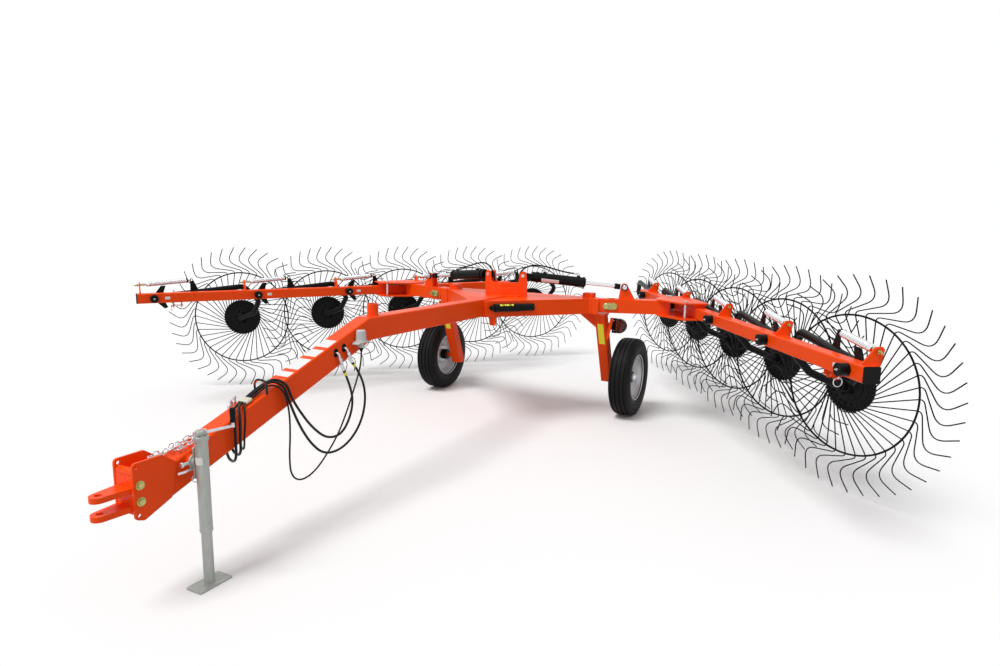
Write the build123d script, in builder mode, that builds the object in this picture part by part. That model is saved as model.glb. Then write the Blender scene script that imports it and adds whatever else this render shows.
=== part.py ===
from build123d import *
import math
import os

# Ten wheel towed V rake. Millimetres, +Z up, -Y towards the tractor, X across.
# The origin is on the ground under the middle of the machine.
# Most pieces are built for the left side (-X) and mirrored to the right side.

# Driving dimensions: places along the machine
AXLE_Y = 930.0
HITCH_Y = AXLE_Y - 4155.0
CROSSBEAM_Y = AXLE_Y - 236.0
BEND_Y = AXLE_Y - 2440.0
TONGUE_REAR_Y = CROSSBEAM_Y - 60.0
DELTA_TIP_Y = AXLE_Y - 1010.0
JACK_X = 138.0
JACK_Y = AXLE_Y - 3760.0

# Ground wheels
TRACK_HALF = 987.0
TYRE_R = 345.0
TYRE_W = 185.0
RIM_R = 205.0
RIM_W = 150.0
HUB_R = 52.0
HUB_BORE_R = 20.0
SPINDLE_R = HUB_BORE_R - 0.1

# Tongue: a rectangular tube that climbs from the hitch to a bend, then runs back level
TONGUE_W = 110.0
TONGUE_H = 142.0
TONGUE_FRONT_Y = AXLE_Y - 3975.0
TONGUE_FRONT_Z = 481.0
BEND_Z = 1020.0
TONGUE_REAR_Z = 990.0
TUBE_CORNER_R = 10.0

# Hitch
PLATE_T = 12.0
LUG_T = 25.0
LUG_GAP = 56.0
LUG_MID_Z = 498.0
LUG_TIP_R = 36.0
LUG_BASE_W = 96.0
HITCH_PIN_R = 15.0

# Hydraulic hoses and the light cable
HOSE_R = 7.0
CABLE_R = 5.0
FITTING_R = 9.0
HOSE_SLOT_W = 34.0
HOSE_SLOT_H = 50.0
HOSE_SLOT_DEEP = 22.0

# Fold arms, swept back in plan, turning about an axis square to them
SWEEP = 20.0
FOLD_X = 835.0
FOLD_Y = AXLE_Y - 251.0
FOLD_Z = 1000.0
ARM_H = 116.0
ARM_D = 110.0
CHEEK_T = 12.0
ARM_BOX_START = 70.0
ARM_BOX_END = 520.0
FOLD_PIN_R = 22.0
FOLD_BORE_R = FOLD_PIN_R + 0.1

# Crossbeam and legs
FRAME_BOTTOM = 925.0
FRAME_TOP = 1055.0
LEG_X = 790.0
LEG_W = 90.0
SPINDLE_BOSS = 22.0
SPINDLE_LENGTH = TRACK_HALF + 10 - LEG_X - LEG_W / 2 - SPINDLE_BOSS
LEG_D = 104.0
LEG_BOTTOM = 285.0
AXLE_Z = TYRE_R
EYE_D = ARM_D - 2 * CHEEK_T - 2.0

# Rake beams: BEAM_ANGLE is from the line of travel, the hub line passes the outer wheel's hub
BEAM_ANGLE = 32.4
HUB_X = 2720.0
HUB_Y = AXLE_Y - 1011.0
HUB_Z = 705.0
STATION = 863.0
STATIONS = 5
BEAM = 85.0
BEAM_BOTTOM = FOLD_Z - ARM_H / 2 + 0.3
BEAM_AHEAD = 507.5
BEAM_OUTER = -930.0
BEAM_INNER = 2800.0
JOINT_S = 1503.0
PIN_S = 1309.0
PIN_AHEAD = 617.0

# Rake wheels: tines leave the disc beside its centre and end in a double bend
WHEEL_ANGLE = 53.7
WHEEL_R = 700.0
TINES = 40
TINE_T = 7.0
TINE_W = 8.0
TINE_BEND_R = 32.0
TINE_TIP_R = 110.0
DISC_R = 172.0
RING_R = 446.0
RING_T = 9.0
RAKE_BORE_R = 16.0
RAKE_SPINDLE_R = RAKE_BORE_R - 0.1

# Wheel arms, measured from the hub: pivot along the beam, and the tube's size
PIVOT_S = -801.0
PIVOT_Z = 985.0
PIVOT_PIN_R = 16.0
PIVOT_CAP_R = 33.0
PIVOT_CAP_LEN = 52.0
SLEEVE_R = 31.0
SLEEVE_LEN = 62.0
WHEEL_ARM_R = 25.0
SPINDLE_LEN = 90.0
SPRING_R = 22.5

# Cylinders, between the centre bracket and the ear on each fold arm
CYL_BASE_U = -720.0
CYL_BASE_Z = 1235.0
CYL_EYE_U = 145.0
CYL_EYE_Z = 1160.0
BARREL_R = 42.0
BARREL_LEN = 455.0
ROD_R = 17.0
CYL_PIN_R = 14.0

os.makedirs("parts", exist_ok=True)


def write(piece, label):
    """Labels a finished piece and writes its STEP file."""
    piece.part.label = label
    export_step(piece.part, f"parts/{label}.step")


def write_both_sides(piece, stem):
    """Writes a left side piece and its mirror image."""
    write(piece, f"{stem}_left")
    with BuildPart() as other:
        mirror(piece.part, about=Plane.YZ)
    write(other, f"{stem}_right")


# Frames of reference
sweep_turn = math.radians(SWEEP)
beam_turn = math.radians(BEAM_ANGLE)
wheel_turn = math.radians(WHEEL_ANGLE)

# Left fold arm: x runs outwards along the arm, and the fold axis points backwards
arm_out = Vector(-math.cos(sweep_turn), math.sin(sweep_turn), 0)
fold_axis = Vector(math.sin(sweep_turn), math.cos(sweep_turn), 0)
arm_plane = Plane(origin=(-FOLD_X, FOLD_Y, 0), x_dir=arm_out, z_dir=(0, 0, 1))

# Left wing: x runs inwards along the beam, y backwards from the hub line
wing = Plane(origin=(-HUB_X, HUB_Y, 0), x_dir=(math.sin(beam_turn), math.cos(beam_turn), 0), z_dir=(0, 0, 1))


# Tongue: the side view's corners lie on the mitres of its two straight runs
front_pitch = math.atan2(BEND_Z - TONGUE_FRONT_Z, BEND_Y - TONGUE_FRONT_Y)
rear_pitch = math.atan2(TONGUE_REAR_Z - BEND_Z, TONGUE_REAR_Y - BEND_Y)
bend_pitch = (front_pitch + rear_pitch) / 2
half_h = TONGUE_H / 2
mitre = half_h / math.cos((front_pitch - rear_pitch) / 2)


def off_line(y, z, pitch, distance):
    """A point of the side view, moved square to a run that climbs at the pitch."""
    return (y - distance * math.sin(pitch), z + distance * math.cos(pitch))


# Where the two hydraulic hoses leave the tongue's right side
HOSE_EXITS = ((HITCH_Y + 1388, 922), (HITCH_Y + 1458, 941))

# Entry box for the light cable on the tongue's left side
CABLE_BOX_Y = HITCH_Y + 815
CABLE_BOX_Z = 720.0

# Wire hoop on the tongue that the hoses lie in
HOOP_X = 9.0
HOOP_Y = HITCH_Y + 865
HOOP_HALF = 43.0
HOOP_H = 72.0
HOOP_WIRE_R = 5.0
hoop_foot = TONGUE_FRONT_Z + (HOOP_Y - TONGUE_FRONT_Y) * math.tan(front_pitch) + half_h / math.cos(front_pitch) - 6

with BuildPart() as tongue:
    with BuildSketch(Plane.YZ):
        with BuildLine():
            Polyline(
                off_line(TONGUE_FRONT_Y, TONGUE_FRONT_Z, front_pitch, -half_h),
                off_line(TONGUE_FRONT_Y, TONGUE_FRONT_Z, front_pitch, half_h),
                off_line(BEND_Y, BEND_Z, bend_pitch, mitre),
                off_line(TONGUE_REAR_Y, TONGUE_REAR_Z, rear_pitch, half_h),
                off_line(TONGUE_REAR_Y, TONGUE_REAR_Z, rear_pitch, -half_h),
                off_line(BEND_Y, BEND_Z, bend_pitch, -mitre),
                close=True,
            )
        make_face()
    extrude(amount=TONGUE_W / 2, both=True)
    fillet(tongue.edges().filter_by(lambda edge: edge.length > 2 * TONGUE_H), radius=TUBE_CORNER_R)
    for exit_y, exit_z in HOSE_EXITS:
        with BuildSketch(Plane.YZ.offset(TONGUE_W / 2)):
            with Locations((exit_y, exit_z)):
                SlotOverall(HOSE_SLOT_H, HOSE_SLOT_W, rotation=90)
        extrude(amount=-HOSE_SLOT_DEEP, mode=Mode.SUBTRACT)
    with BuildSketch(Plane.XY.offset(BEND_Z + half_h - 8)):
        with Locations((0, BEND_Y + 85)):
            Circle(35)
    extrude(amount=84)
    with BuildSketch(Plane.XY.offset(BEND_Z + half_h + 6)):
        with Locations((0, BEND_Y + 85)):
            Circle(28)
    extrude(amount=70, mode=Mode.SUBTRACT)
    with BuildSketch(Plane.XY.offset(CABLE_BOX_Z)):
        with Locations((-TONGUE_W / 2 - 19, CABLE_BOX_Y)):
            Rectangle(40, 28)
    extrude(amount=30)
    with BuildLine() as hoop:
        FilletPolyline(
            (HOOP_X - HOOP_HALF, HOOP_Y, hoop_foot),
            (HOOP_X - HOOP_HALF, HOOP_Y, hoop_foot + HOOP_H),
            (HOOP_X + HOOP_HALF, HOOP_Y, hoop_foot + HOOP_H),
            (HOOP_X + HOOP_HALF, HOOP_Y, hoop_foot),
            radius=HOOP_HALF - 5,
        )
    with BuildSketch(Plane(origin=hoop.line @ 0, z_dir=hoop.line % 0)):
        Circle(HOOP_WIRE_R)
    sweep(path=hoop.line)
write(tongue, "tongue")

# Hitch plates, welded on the tongue's sides
with BuildPart() as hitch_plates:
    with BuildSketch(Plane.YZ.offset(TONGUE_W / 2)):
        with BuildLine():
            Polyline(
                (HITCH_Y + 110, 412),
                (HITCH_Y + 110, 660),
                (HITCH_Y + 250, 660),
                (HITCH_Y + 320, 606),
                (HITCH_Y + 285, 452),
                (HITCH_Y + 150, 396),
                close=True,
            )
        corners = make_face()
        fillet(corners.vertices().sort_by(Axis.X)[0:4], radius=18)
        with Locations((HITCH_Y + 130, 640), (HITCH_Y + 131, 424)):
            Circle(9, mode=Mode.SUBTRACT)
    extrude(amount=PLATE_T)
    mirror(about=Plane.YZ)
write(hitch_plates, "hitch_plates")

# Hitch clevis between the plates: a block, two lugs with the pin bore, and a cross tube
with BuildPart() as hitch_clevis:
    with BuildSketch(Plane.XY.offset(LUG_MID_Z - 66)):
        with Locations((0, HITCH_Y + 131)):
            Rectangle(TONGUE_W, 38)
    extrude(amount=170)
    for lug_bottom in (LUG_MID_Z - LUG_GAP / 2 - LUG_T, LUG_MID_Z + LUG_GAP / 2):
        with BuildSketch(Plane.XY.offset(lug_bottom)):
            with Locations((0, HITCH_Y)):
                Circle(LUG_TIP_R)
            with Locations((0, HITCH_Y + 120)):
                Rectangle(LUG_BASE_W, 20)
            make_hull()
            with Locations((0, HITCH_Y)):
                Circle(HITCH_PIN_R, mode=Mode.SUBTRACT)
        extrude(amount=LUG_T)
    with BuildSketch(Plane.YZ.offset(-TONGUE_W / 2)):
        with Locations((HITCH_Y + 131, 612)):
            Circle(19)
    extrude(amount=TONGUE_W)
write(hitch_clevis, "hitch_clevis")

# Jack: outer tube on a stub welded to the tongue, and the leg that slides in it
JACK_TUBE_R = 28.5
JACK_LEG_R = 24.0
JACK_TUBE_BOTTOM = 262.0
JACK_TUBE_TOP = 700.0
JACK_LEG_TOP = 440.0
JACK_STUB_Z = 590.0
FOOT_T = 8.0
with BuildPart() as jack_stub:
    with BuildSketch(Plane.YZ.offset(TONGUE_W / 2)):
        with Locations((JACK_Y, JACK_STUB_Z)):
            Circle(27)
    extrude(amount=JACK_X - JACK_TUBE_R - TONGUE_W / 2 - 18)
write(jack_stub, "jack_stub")

with BuildPart() as jack_tube:
    with BuildSketch(Plane.XY.offset(JACK_TUBE_BOTTOM)):
        with Locations((JACK_X, JACK_Y)):
            Circle(JACK_TUBE_R)
            Circle(JACK_LEG_R + 0.3, mode=Mode.SUBTRACT)
    extrude(amount=JACK_TUBE_TOP - JACK_TUBE_BOTTOM)
    with BuildSketch(Plane.XY.offset(JACK_TUBE_TOP)):
        with Locations((JACK_X, JACK_Y)):
            Circle(33)
    extrude(amount=16)
    with BuildSketch(Plane.YZ.offset(JACK_X - JACK_TUBE_R - 18)):
        with Locations((JACK_Y, JACK_STUB_Z)):
            Circle(31)
    extrude(amount=24)
    with BuildSketch(Plane.XY.offset(JACK_TUBE_BOTTOM)):
        with Locations((JACK_X, JACK_Y)):
            Circle(JACK_LEG_R + 0.3)
    extrude(amount=JACK_TUBE_TOP - JACK_TUBE_BOTTOM - 6, mode=Mode.SUBTRACT)
write(jack_tube, "jack_tube")

with BuildPart() as jack_leg:
    with BuildSketch():
        with Locations((JACK_X, JACK_Y)):
            RectangleRounded(100, 178, 8)
    extrude(amount=FOOT_T)
    with BuildSketch(Plane.XY.offset(FOOT_T)):
        with Locations((JACK_X, JACK_Y)):
            Circle(JACK_LEG_R)
    extrude(amount=JACK_LEG_TOP - FOOT_T)
write(jack_leg, "jack_leg")

# Jack crank: the spindle's top, an arm and an upright grip
with BuildPart() as jack_crank:
    with BuildSketch(Plane.XY.offset(JACK_TUBE_TOP + 16)):
        with Locations((JACK_X, JACK_Y)):
            Circle(13)
    extrude(amount=26)
    crank_z = JACK_TUBE_TOP + 29
    crank_plane = Plane(origin=(JACK_X, JACK_Y, crank_z), x_dir=(0, 0, 1), z_dir=(0.2, 0.98, 0))
    with BuildSketch(crank_plane):
        Circle(7)
    extrude(amount=160)
    with BuildSketch(Plane.XY.offset(crank_z - 7)):
        with Locations((JACK_X + 0.2 * 155, JACK_Y + 0.98 * 155)):
            Circle(7)
    extrude(amount=24)
write(jack_crank, "jack_crank")

with BuildPart() as crank_grip:
    with BuildSketch(Plane.XY.offset(crank_z + 17)):
        with Locations((JACK_X + 0.2 * 155, JACK_Y + 0.98 * 155)):
            Circle(14)
    extrude(amount=70)
write(crank_grip, "crank_grip")

# Main frame: crossbeam with two diagonal sides to the tongue, and an eye for each fold pin
fold_plane = Plane(origin=(-FOLD_X, FOLD_Y, FOLD_Z), x_dir=arm_out, z_dir=fold_axis)
CROSSBEAM_REAR = CROSSBEAM_Y + 65
DELTA_HALF = 75.0
DIAGONAL_X = 705.0
DIAGONAL_Y = CROSSBEAM_Y - 94.0
STOP_BLOCK_X = 674.0
STOP_BLOCK_H = 42.0
TAB_X = 106.0
TAB_H = 72.0
with BuildPart() as main_frame:
    with BuildSketch(Plane.XY.offset(FRAME_BOTTOM)):
        with BuildLine():
            Polyline(
                (0, DELTA_TIP_Y),
                (-DELTA_HALF, DELTA_TIP_Y),
                (-DIAGONAL_X, DIAGONAL_Y),
                (-DIAGONAL_X - 87, DIAGONAL_Y),
                (-738, CROSSBEAM_REAR),
                (0, CROSSBEAM_REAR),
                close=True,
            )
        make_face()
    extrude(amount=FRAME_TOP - FRAME_BOTTOM)
    with BuildSketch(fold_plane.offset(-EYE_D / 2)):
        Circle(ARM_H / 2)
        with Locations((-70, 0)):
            Rectangle(140, ARM_H)
    extrude(amount=EYE_D)
    with BuildSketch(fold_plane.offset(-EYE_D / 2)):
        Circle(FOLD_BORE_R)
    extrude(amount=EYE_D, mode=Mode.SUBTRACT)
    with BuildSketch(Plane.XY.offset(FRAME_TOP)):
        with Locations((-STOP_BLOCK_X, CROSSBEAM_Y - 10)):
            Rectangle(88, 90)
    extrude(amount=STOP_BLOCK_H)
    mirror(about=Plane.YZ)
    with BuildSketch(Plane.XZ.offset(20)):
        with BuildLine():
            Polyline(
                (TAB_X - 37, FRAME_BOTTOM),
                (TAB_X + 37, FRAME_BOTTOM),
                (TAB_X + 24, FRAME_BOTTOM - TAB_H),
                (TAB_X - 24, FRAME_BOTTOM - TAB_H),
                close=True,
            )
        make_face()
    extrude(amount=-PLATE_T)
    add(tongue.part, mode=Mode.SUBTRACT)
write(main_frame, "main_frame")

# Legs, raked back from the crossbeam to the axle, with head plate, gusset and wheel spindle
LEG_RAKE = 245.0
LEG_FRONT_TOP = CROSSBEAM_Y - 61

# Tail lamps on plates behind the legs
LAMP_Y = CROSSBEAM_Y + 156
LAMP_Z = 805.0
LAMP_H = 130.0
LAMP_BASE_W = 34.0
LAMP_LENS_W = 95.0
LAMP_D = 34.0
LAMP_PLATE_T = 6.0
lamp_side = -LEG_X - LEG_W / 2 - LAMP_PLATE_T
with BuildPart() as leg:
    with BuildSketch(Plane.YZ.offset(-LEG_X - LEG_W / 2)):
        with BuildLine():
            Polyline(
                (LEG_FRONT_TOP, FRAME_BOTTOM - PLATE_T),
                (LEG_FRONT_TOP + LEG_D, FRAME_BOTTOM - PLATE_T),
                (LEG_FRONT_TOP + LEG_D + LEG_RAKE, LEG_BOTTOM),
                (LEG_FRONT_TOP + LEG_RAKE, LEG_BOTTOM),
                close=True,
            )
        make_face()
    extrude(amount=LEG_W)
    fillet(leg.edges().filter_by(lambda edge: edge.length > 3 * LEG_D), radius=TUBE_CORNER_R)
    with BuildSketch(Plane.XY.offset(FRAME_BOTTOM - PLATE_T)):
        with Locations((-LEG_X + 95, CROSSBEAM_Y)):
            Rectangle(280, 130)
    extrude(amount=PLATE_T)
    with BuildSketch(Plane.XZ.offset(-CROSSBEAM_Y - 6)):
        with BuildLine():
            Polyline(
                (-LEG_X + LEG_W / 2 - 1, FRAME_BOTTOM - PLATE_T),
                (-LEG_X + LEG_W / 2 + 160, FRAME_BOTTOM - PLATE_T),
                (-LEG_X + LEG_W / 2 - 1, FRAME_BOTTOM - PLATE_T - 115),
                close=True,
            )
        make_face()
    extrude(amount=12)
    with BuildSketch(Plane.YZ.offset(-LEG_X - LEG_W / 2)):
        with Locations((AXLE_Y, AXLE_Z)):
            Circle(34)
    extrude(amount=-SPINDLE_BOSS)
    with BuildSketch(Plane.YZ.offset(-LEG_X - LEG_W / 2 - SPINDLE_BOSS)):
        with Locations((AXLE_Y, AXLE_Z)):
            Circle(SPINDLE_R)
    extrude(amount=-SPINDLE_LENGTH)
    with BuildSketch(Plane.YZ.offset(-LEG_X - LEG_W / 2)):
        with Locations(((LAMP_Y + LEG_FRONT_TOP) / 2 + 45, LAMP_Z)):
            RectangleRounded(LAMP_Y - LEG_FRONT_TOP - 55, 70, 8)
    extrude(amount=-LAMP_PLATE_T)
write_both_sides(leg, "leg")

with BuildPart() as lamp_bases:
    with BuildSketch(Plane.XZ.offset(-LAMP_Y)):
        with Locations((lamp_side - LAMP_BASE_W / 2, LAMP_Z)):
            Rectangle(LAMP_BASE_W, LAMP_H)
    extrude(amount=LAMP_D / 2, both=True)
    mirror(about=Plane.YZ)
write(lamp_bases, "lamp_bases")

with BuildPart() as tail_lamps:
    with BuildSketch(Plane.XZ.offset(-LAMP_Y)):
        with BuildLine():
            Polyline(
                (lamp_side - LAMP_BASE_W - 0.2 - LAMP_LENS_W + LAMP_H / 2, LAMP_Z - LAMP_H / 2),
                (lamp_side - LAMP_BASE_W - 0.2, LAMP_Z - LAMP_H / 2),
                (lamp_side - LAMP_BASE_W - 0.2, LAMP_Z + LAMP_H / 2),
                (lamp_side - LAMP_BASE_W - 0.2 - LAMP_LENS_W + LAMP_H / 2, LAMP_Z + LAMP_H / 2),
            )
            ThreePointArc(
                (lamp_side - LAMP_BASE_W - 0.2 - LAMP_LENS_W + LAMP_H / 2, LAMP_Z + LAMP_H / 2),
                (lamp_side - LAMP_BASE_W - 0.2 - LAMP_LENS_W, LAMP_Z),
                (lamp_side - LAMP_BASE_W - 0.2 - LAMP_LENS_W + LAMP_H / 2, LAMP_Z - LAMP_H / 2),
            )
        make_face()
    extrude(amount=LAMP_D / 2 + 3, both=True)
    fillet(tail_lamps.edges().filter_by(GeomType.CIRCLE), radius=6)
    mirror(about=Plane.YZ)
write(tail_lamps, "tail_lamps")

# Ground wheels: tyre with a rounded section, and a dished rim with its hub
axle_line = Axis((-TRACK_HALF, AXLE_Y, AXLE_Z), (1, 0, 0))
section = Plane(origin=(-TRACK_HALF, AXLE_Y, AXLE_Z), x_dir=(-1, 0, 0), z_dir=(0, -1, 0))
half_w = TYRE_W / 2
BEAD_R = RIM_R - 14
with BuildPart() as tyre:
    with BuildSketch(section):
        with BuildLine():
            Polyline(
                (-RIM_W / 2 + 12, BEAD_R),
                (-half_w, BEAD_R + 45),
                (-half_w, TYRE_R - 65),
                (-half_w + 22, TYRE_R - 12),
                (-half_w + 48, TYRE_R),
                (half_w - 48, TYRE_R),
                (half_w - 22, TYRE_R - 12),
                (half_w, TYRE_R - 65),
                (half_w, BEAD_R + 45),
                (RIM_W / 2 - 12, BEAD_R),
                close=True,
            )
        make_face()
    revolve(axis=axle_line)
write_both_sides(tyre, "tyre")

RIM_T = 5.0
DISH = 30.0
with BuildPart() as rim:
    with BuildSketch(section):
        with BuildLine():
            Polyline(
                (-RIM_W / 2, RIM_R),
                (-RIM_W / 2, RIM_R - RIM_T),
                (-RIM_W / 2 + 8, BEAD_R - 8),
                (DISH - 12, BEAD_R - 22),
                (DISH - 12, 90),
                (DISH - 35, 76),
                (DISH - 35, HUB_R),
                (-70, HUB_R),
                (-70, HUB_BORE_R),
                (DISH + 22, HUB_BORE_R),
                (DISH + 22, 0),
                (DISH + 40, 0),
                (DISH + 40, 34),
                (DISH + 28, HUB_R - 8),
                (DISH - 20, HUB_R),
                (DISH - 20, 70),
                (DISH, 90),
                (DISH, BEAD_R - 22),
                (RIM_W / 2 - 8, BEAD_R - 8),
                (RIM_W / 2, RIM_R - RIM_T),
                (RIM_W / 2, RIM_R),
                (RIM_W / 2 - 8, BEAD_R - 0.3),
                (-RIM_W / 2 + 8, BEAD_R - 0.3),
                close=True,
            )
        make_face()
    revolve(axis=axle_line)
write_both_sides(rim, "rim")


# Fold arms: forked inner end, box, and two plates that clamp the rake beam
def wing_point(along, behind):
    """A point of the left wing's plan in the machine's plan."""
    spot = wing.from_local_coords(Vector(along, behind, 0))
    return (spot.X, spot.Y)


def arm_point(outwards, ahead):
    """A point of the left arm's plan in the machine's plan."""
    spot = arm_plane.from_local_coords(Vector(outwards, ahead, 0))
    return (spot.X, spot.Y)


BEAM_BEHIND = -BEAM_AHEAD
CLAMP_HALF = 270.0
LOCK_PIN_R = 12.0
LOCK_PINS = (PIN_S, 2 * JOINT_S - PIN_S)
ARM_BOTTOM = FOLD_Z - ARM_H / 2
with BuildPart() as fold_arm:
    with BuildSketch(fold_plane.offset(-ARM_D / 2)):
        with Locations(((ARM_BOX_START + ARM_BOX_END) / 2, 0)):
            Rectangle(ARM_BOX_END - ARM_BOX_START, ARM_H)
    extrude(amount=ARM_D)
    for cheek in (-ARM_D / 2, ARM_D / 2 - CHEEK_T):
        with BuildSketch(fold_plane.offset(cheek)):
            Circle(ARM_H / 2)
            with Locations((ARM_BOX_START / 2, 0)):
                Rectangle(ARM_BOX_START, ARM_H)
            Circle(FOLD_BORE_R, mode=Mode.SUBTRACT)
        extrude(amount=CHEEK_T)
    for level in (ARM_BOTTOM - PLATE_T, ARM_BOTTOM + ARM_H):
        with BuildSketch(Plane.XY.offset(level)):
            with BuildLine():
                Polyline(
                    wing_point(JOINT_S - CLAMP_HALF, BEAM_BEHIND + 55),
                    wing_point(JOINT_S - CLAMP_HALF, BEAM_BEHIND - 158),
                    arm_point(420, ARM_D / 2),
                    arm_point(420, -ARM_D / 2),
                    wing_point(JOINT_S + CLAMP_HALF, BEAM_BEHIND - 158),
                    wing_point(JOINT_S + CLAMP_HALF, BEAM_BEHIND + 55),
                    close=True,
                )
            make_face()
            for along in LOCK_PINS:
                with Locations(wing_point(along, -PIN_AHEAD)):
                    Circle(LOCK_PIN_R + 0.1, mode=Mode.SUBTRACT)
        extrude(amount=PLATE_T)
write_both_sides(fold_arm, "fold_arm")

# Fold pin with its retainer plate on the arm's front cheek
with BuildPart() as fold_pin:
    with BuildSketch(fold_plane.offset(-ARM_D / 2)):
        Circle(FOLD_PIN_R)
    extrude(amount=ARM_D + 8)
    with BuildSketch(fold_plane.offset(-ARM_D / 2)):
        with Locations((28, 0)):
            SlotOverall(118, 56)
    extrude(amount=-8)
    with BuildSketch(fold_plane.offset(-ARM_D / 2 - 8)):
        Circle(16)
        with Locations((62, 0)):
            RegularPolygon(13, 6)
    extrude(amount=-9)
write_both_sides(fold_pin, "fold_pin")

# Vertical pins that lock the rake beam between the clamp plates, and a pin with a ring in two ears under it
LOCK_EARS = (-585.0, -650.0)
LOCK_DROP = 32.0
LOCK_BOLT_R = 7.0
LOCK_RING_R = 24.0
with BuildPart() as beam_pins:
    for along in LOCK_PINS:
        with BuildSketch(Plane.XY.offset(ARM_BOTTOM - PLATE_T - 22)):
            with Locations(wing_point(along, -PIN_AHEAD)):
                Circle(LOCK_PIN_R)
        extrude(amount=ARM_H + 2 * PLATE_T + 22)
        with BuildSketch(Plane.XY.offset(ARM_BOTTOM + ARM_H + PLATE_T)):
            with Locations(wing_point(along, -PIN_AHEAD)):
                Circle(LOCK_PIN_R + 10)
        extrude(amount=12)
    lock_z = BEAM_BOTTOM - LOCK_DROP
    pin_start = wing.from_local_coords(Vector(LOCK_EARS[0] + 12, BEAM_BEHIND, lock_z))
    pin_length = LOCK_EARS[0] - LOCK_EARS[1] + 34
    with BuildSketch(Plane(origin=pin_start, z_dir=-wing.x_dir)):
        Circle(LOCK_BOLT_R)
    extrude(amount=pin_length)
    ring_spot = pin_start - wing.x_dir * (pin_length - 5) - Vector(0, 0, LOCK_RING_R)
    with BuildPart(Plane(origin=ring_spot, z_dir=wing.x_dir), mode=Mode.PRIVATE) as lock_ring:
        Torus(LOCK_RING_R, 2.5)
    add(lock_ring.part)
write_both_sides(beam_pins, "beam_pins")

# Ears for the cylinder's rod on top of the arm
EAR_GAP = 44.0
EAR_T = 12.0
EAR_R = 30.0
with BuildPart() as rod_ears:
    for face in (-EAR_GAP / 2 - EAR_T, EAR_GAP / 2):
        with BuildSketch(fold_plane.offset(face)):
            with Locations((CYL_EYE_U, CYL_EYE_Z - FOLD_Z)):
                Circle(EAR_R)
            with Locations((CYL_EYE_U + 22, ARM_H / 2 + 3)):
                Rectangle(130, 6)
            make_hull()
            with Locations((CYL_EYE_U, CYL_EYE_Z - FOLD_Z)):
                Circle(CYL_PIN_R + 0.1, mode=Mode.SUBTRACT)
        extrude(amount=EAR_T)
write_both_sides(rod_ears, "rod_ears")

# Centre bracket: per side two plates square to the cylinder's pin, a saddle between them, and a base plate
SADDLE_Z = 1180.0
with BuildPart() as cylinder_bracket:
    for face in (-EAR_GAP / 2 - EAR_T, EAR_GAP / 2):
        with BuildSketch(fold_plane.offset(face)):
            with Locations((CYL_BASE_U, CYL_BASE_Z - FOLD_Z)):
                Circle(34)
            with Locations((CYL_BASE_U - 20, 65)):
                Rectangle(320, 30)
            make_hull()
            with Locations((CYL_BASE_U - 90, (SADDLE_Z - FOLD_Z + 50) / 2)):
                Rectangle(200, SADDLE_Z - FOLD_Z - 50)
            with Locations((CYL_BASE_U, CYL_BASE_Z - FOLD_Z)):
                Circle(CYL_PIN_R + 0.1, mode=Mode.SUBTRACT)
        extrude(amount=EAR_T)
    split(bisect_by=Plane.YZ, keep=Keep.BOTTOM)
    mirror(about=Plane.YZ)
    with BuildSketch(Plane.XY.offset(FRAME_TOP - 5)):
        with Locations(arm_point(CYL_BASE_U - 170, 0)):
            Rectangle(400, 150)
    extrude(amount=27)
    add(tongue.part, mode=Mode.SUBTRACT)
    add(main_frame.part, mode=Mode.SUBTRACT)
write(cylinder_bracket, "cylinder_bracket")

# Cylinders, drawn on a plane whose x runs from the base pin to the rod's eye
cyl_run = CYL_EYE_U - CYL_BASE_U
cyl_drop = CYL_EYE_Z - CYL_BASE_Z
cyl_len = math.hypot(cyl_run, cyl_drop)
base_pin = fold_plane.from_local_coords(Vector(CYL_BASE_U, CYL_BASE_Z - FOLD_Z, 0))
eye_pin = fold_plane.from_local_coords(Vector(CYL_EYE_U, CYL_EYE_Z - FOLD_Z, 0))
cyl_dir = (eye_pin - base_pin).normalized()
cyl_plane = Plane(origin=base_pin, x_dir=cyl_dir, z_dir=fold_axis)
EYE_W = EAR_GAP - 6.0
BARREL_START = 78.0
GLAND_LEN = 30.0
barrel_end = BARREL_START + BARREL_LEN
with BuildPart() as barrel:
    with BuildSketch(Plane(origin=base_pin + cyl_dir * BARREL_START, x_dir=fold_axis, z_dir=cyl_dir)):
        Circle(BARREL_R)
    extrude(amount=BARREL_LEN)
    with BuildSketch(cyl_plane.offset(-EYE_W / 2)):
        Circle(28)
        with Locations((BARREL_START / 2, 0)):
            Rectangle(BARREL_START + 4, 50)
    extrude(amount=EYE_W)
    with BuildSketch(cyl_plane.offset(-EYE_W / 2)):
        Circle(CYL_PIN_R + 0.1)
    extrude(amount=EYE_W, mode=Mode.SUBTRACT)
    with BuildSketch(Plane(origin=base_pin + cyl_dir * (barrel_end - 330), x_dir=fold_axis, z_dir=cyl_dir)):
        Circle(ROD_R + 0.3)
    extrude(amount=330, mode=Mode.SUBTRACT)
write_both_sides(barrel, "cylinder_barrel")

EYE_R = 26.0
with BuildPart() as rod:
    with BuildSketch(Plane(origin=base_pin + cyl_dir * (barrel_end - 45), x_dir=fold_axis, z_dir=cyl_dir)):
        Circle(ROD_R)
    extrude(amount=cyl_len - barrel_end + 45 - EYE_R + 4)
    with BuildSketch(cyl_plane.offset(-EYE_W / 2)):
        with Locations((cyl_len, 0)):
            Circle(EYE_R)
        with Locations((cyl_len - 34, 0)):
            Rectangle(50, 46)
        with Locations((cyl_len, 0)):
            Circle(CYL_PIN_R + 3, mode=Mode.SUBTRACT)
    extrude(amount=EYE_W)
write_both_sides(rod, "cylinder_rod")

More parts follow.
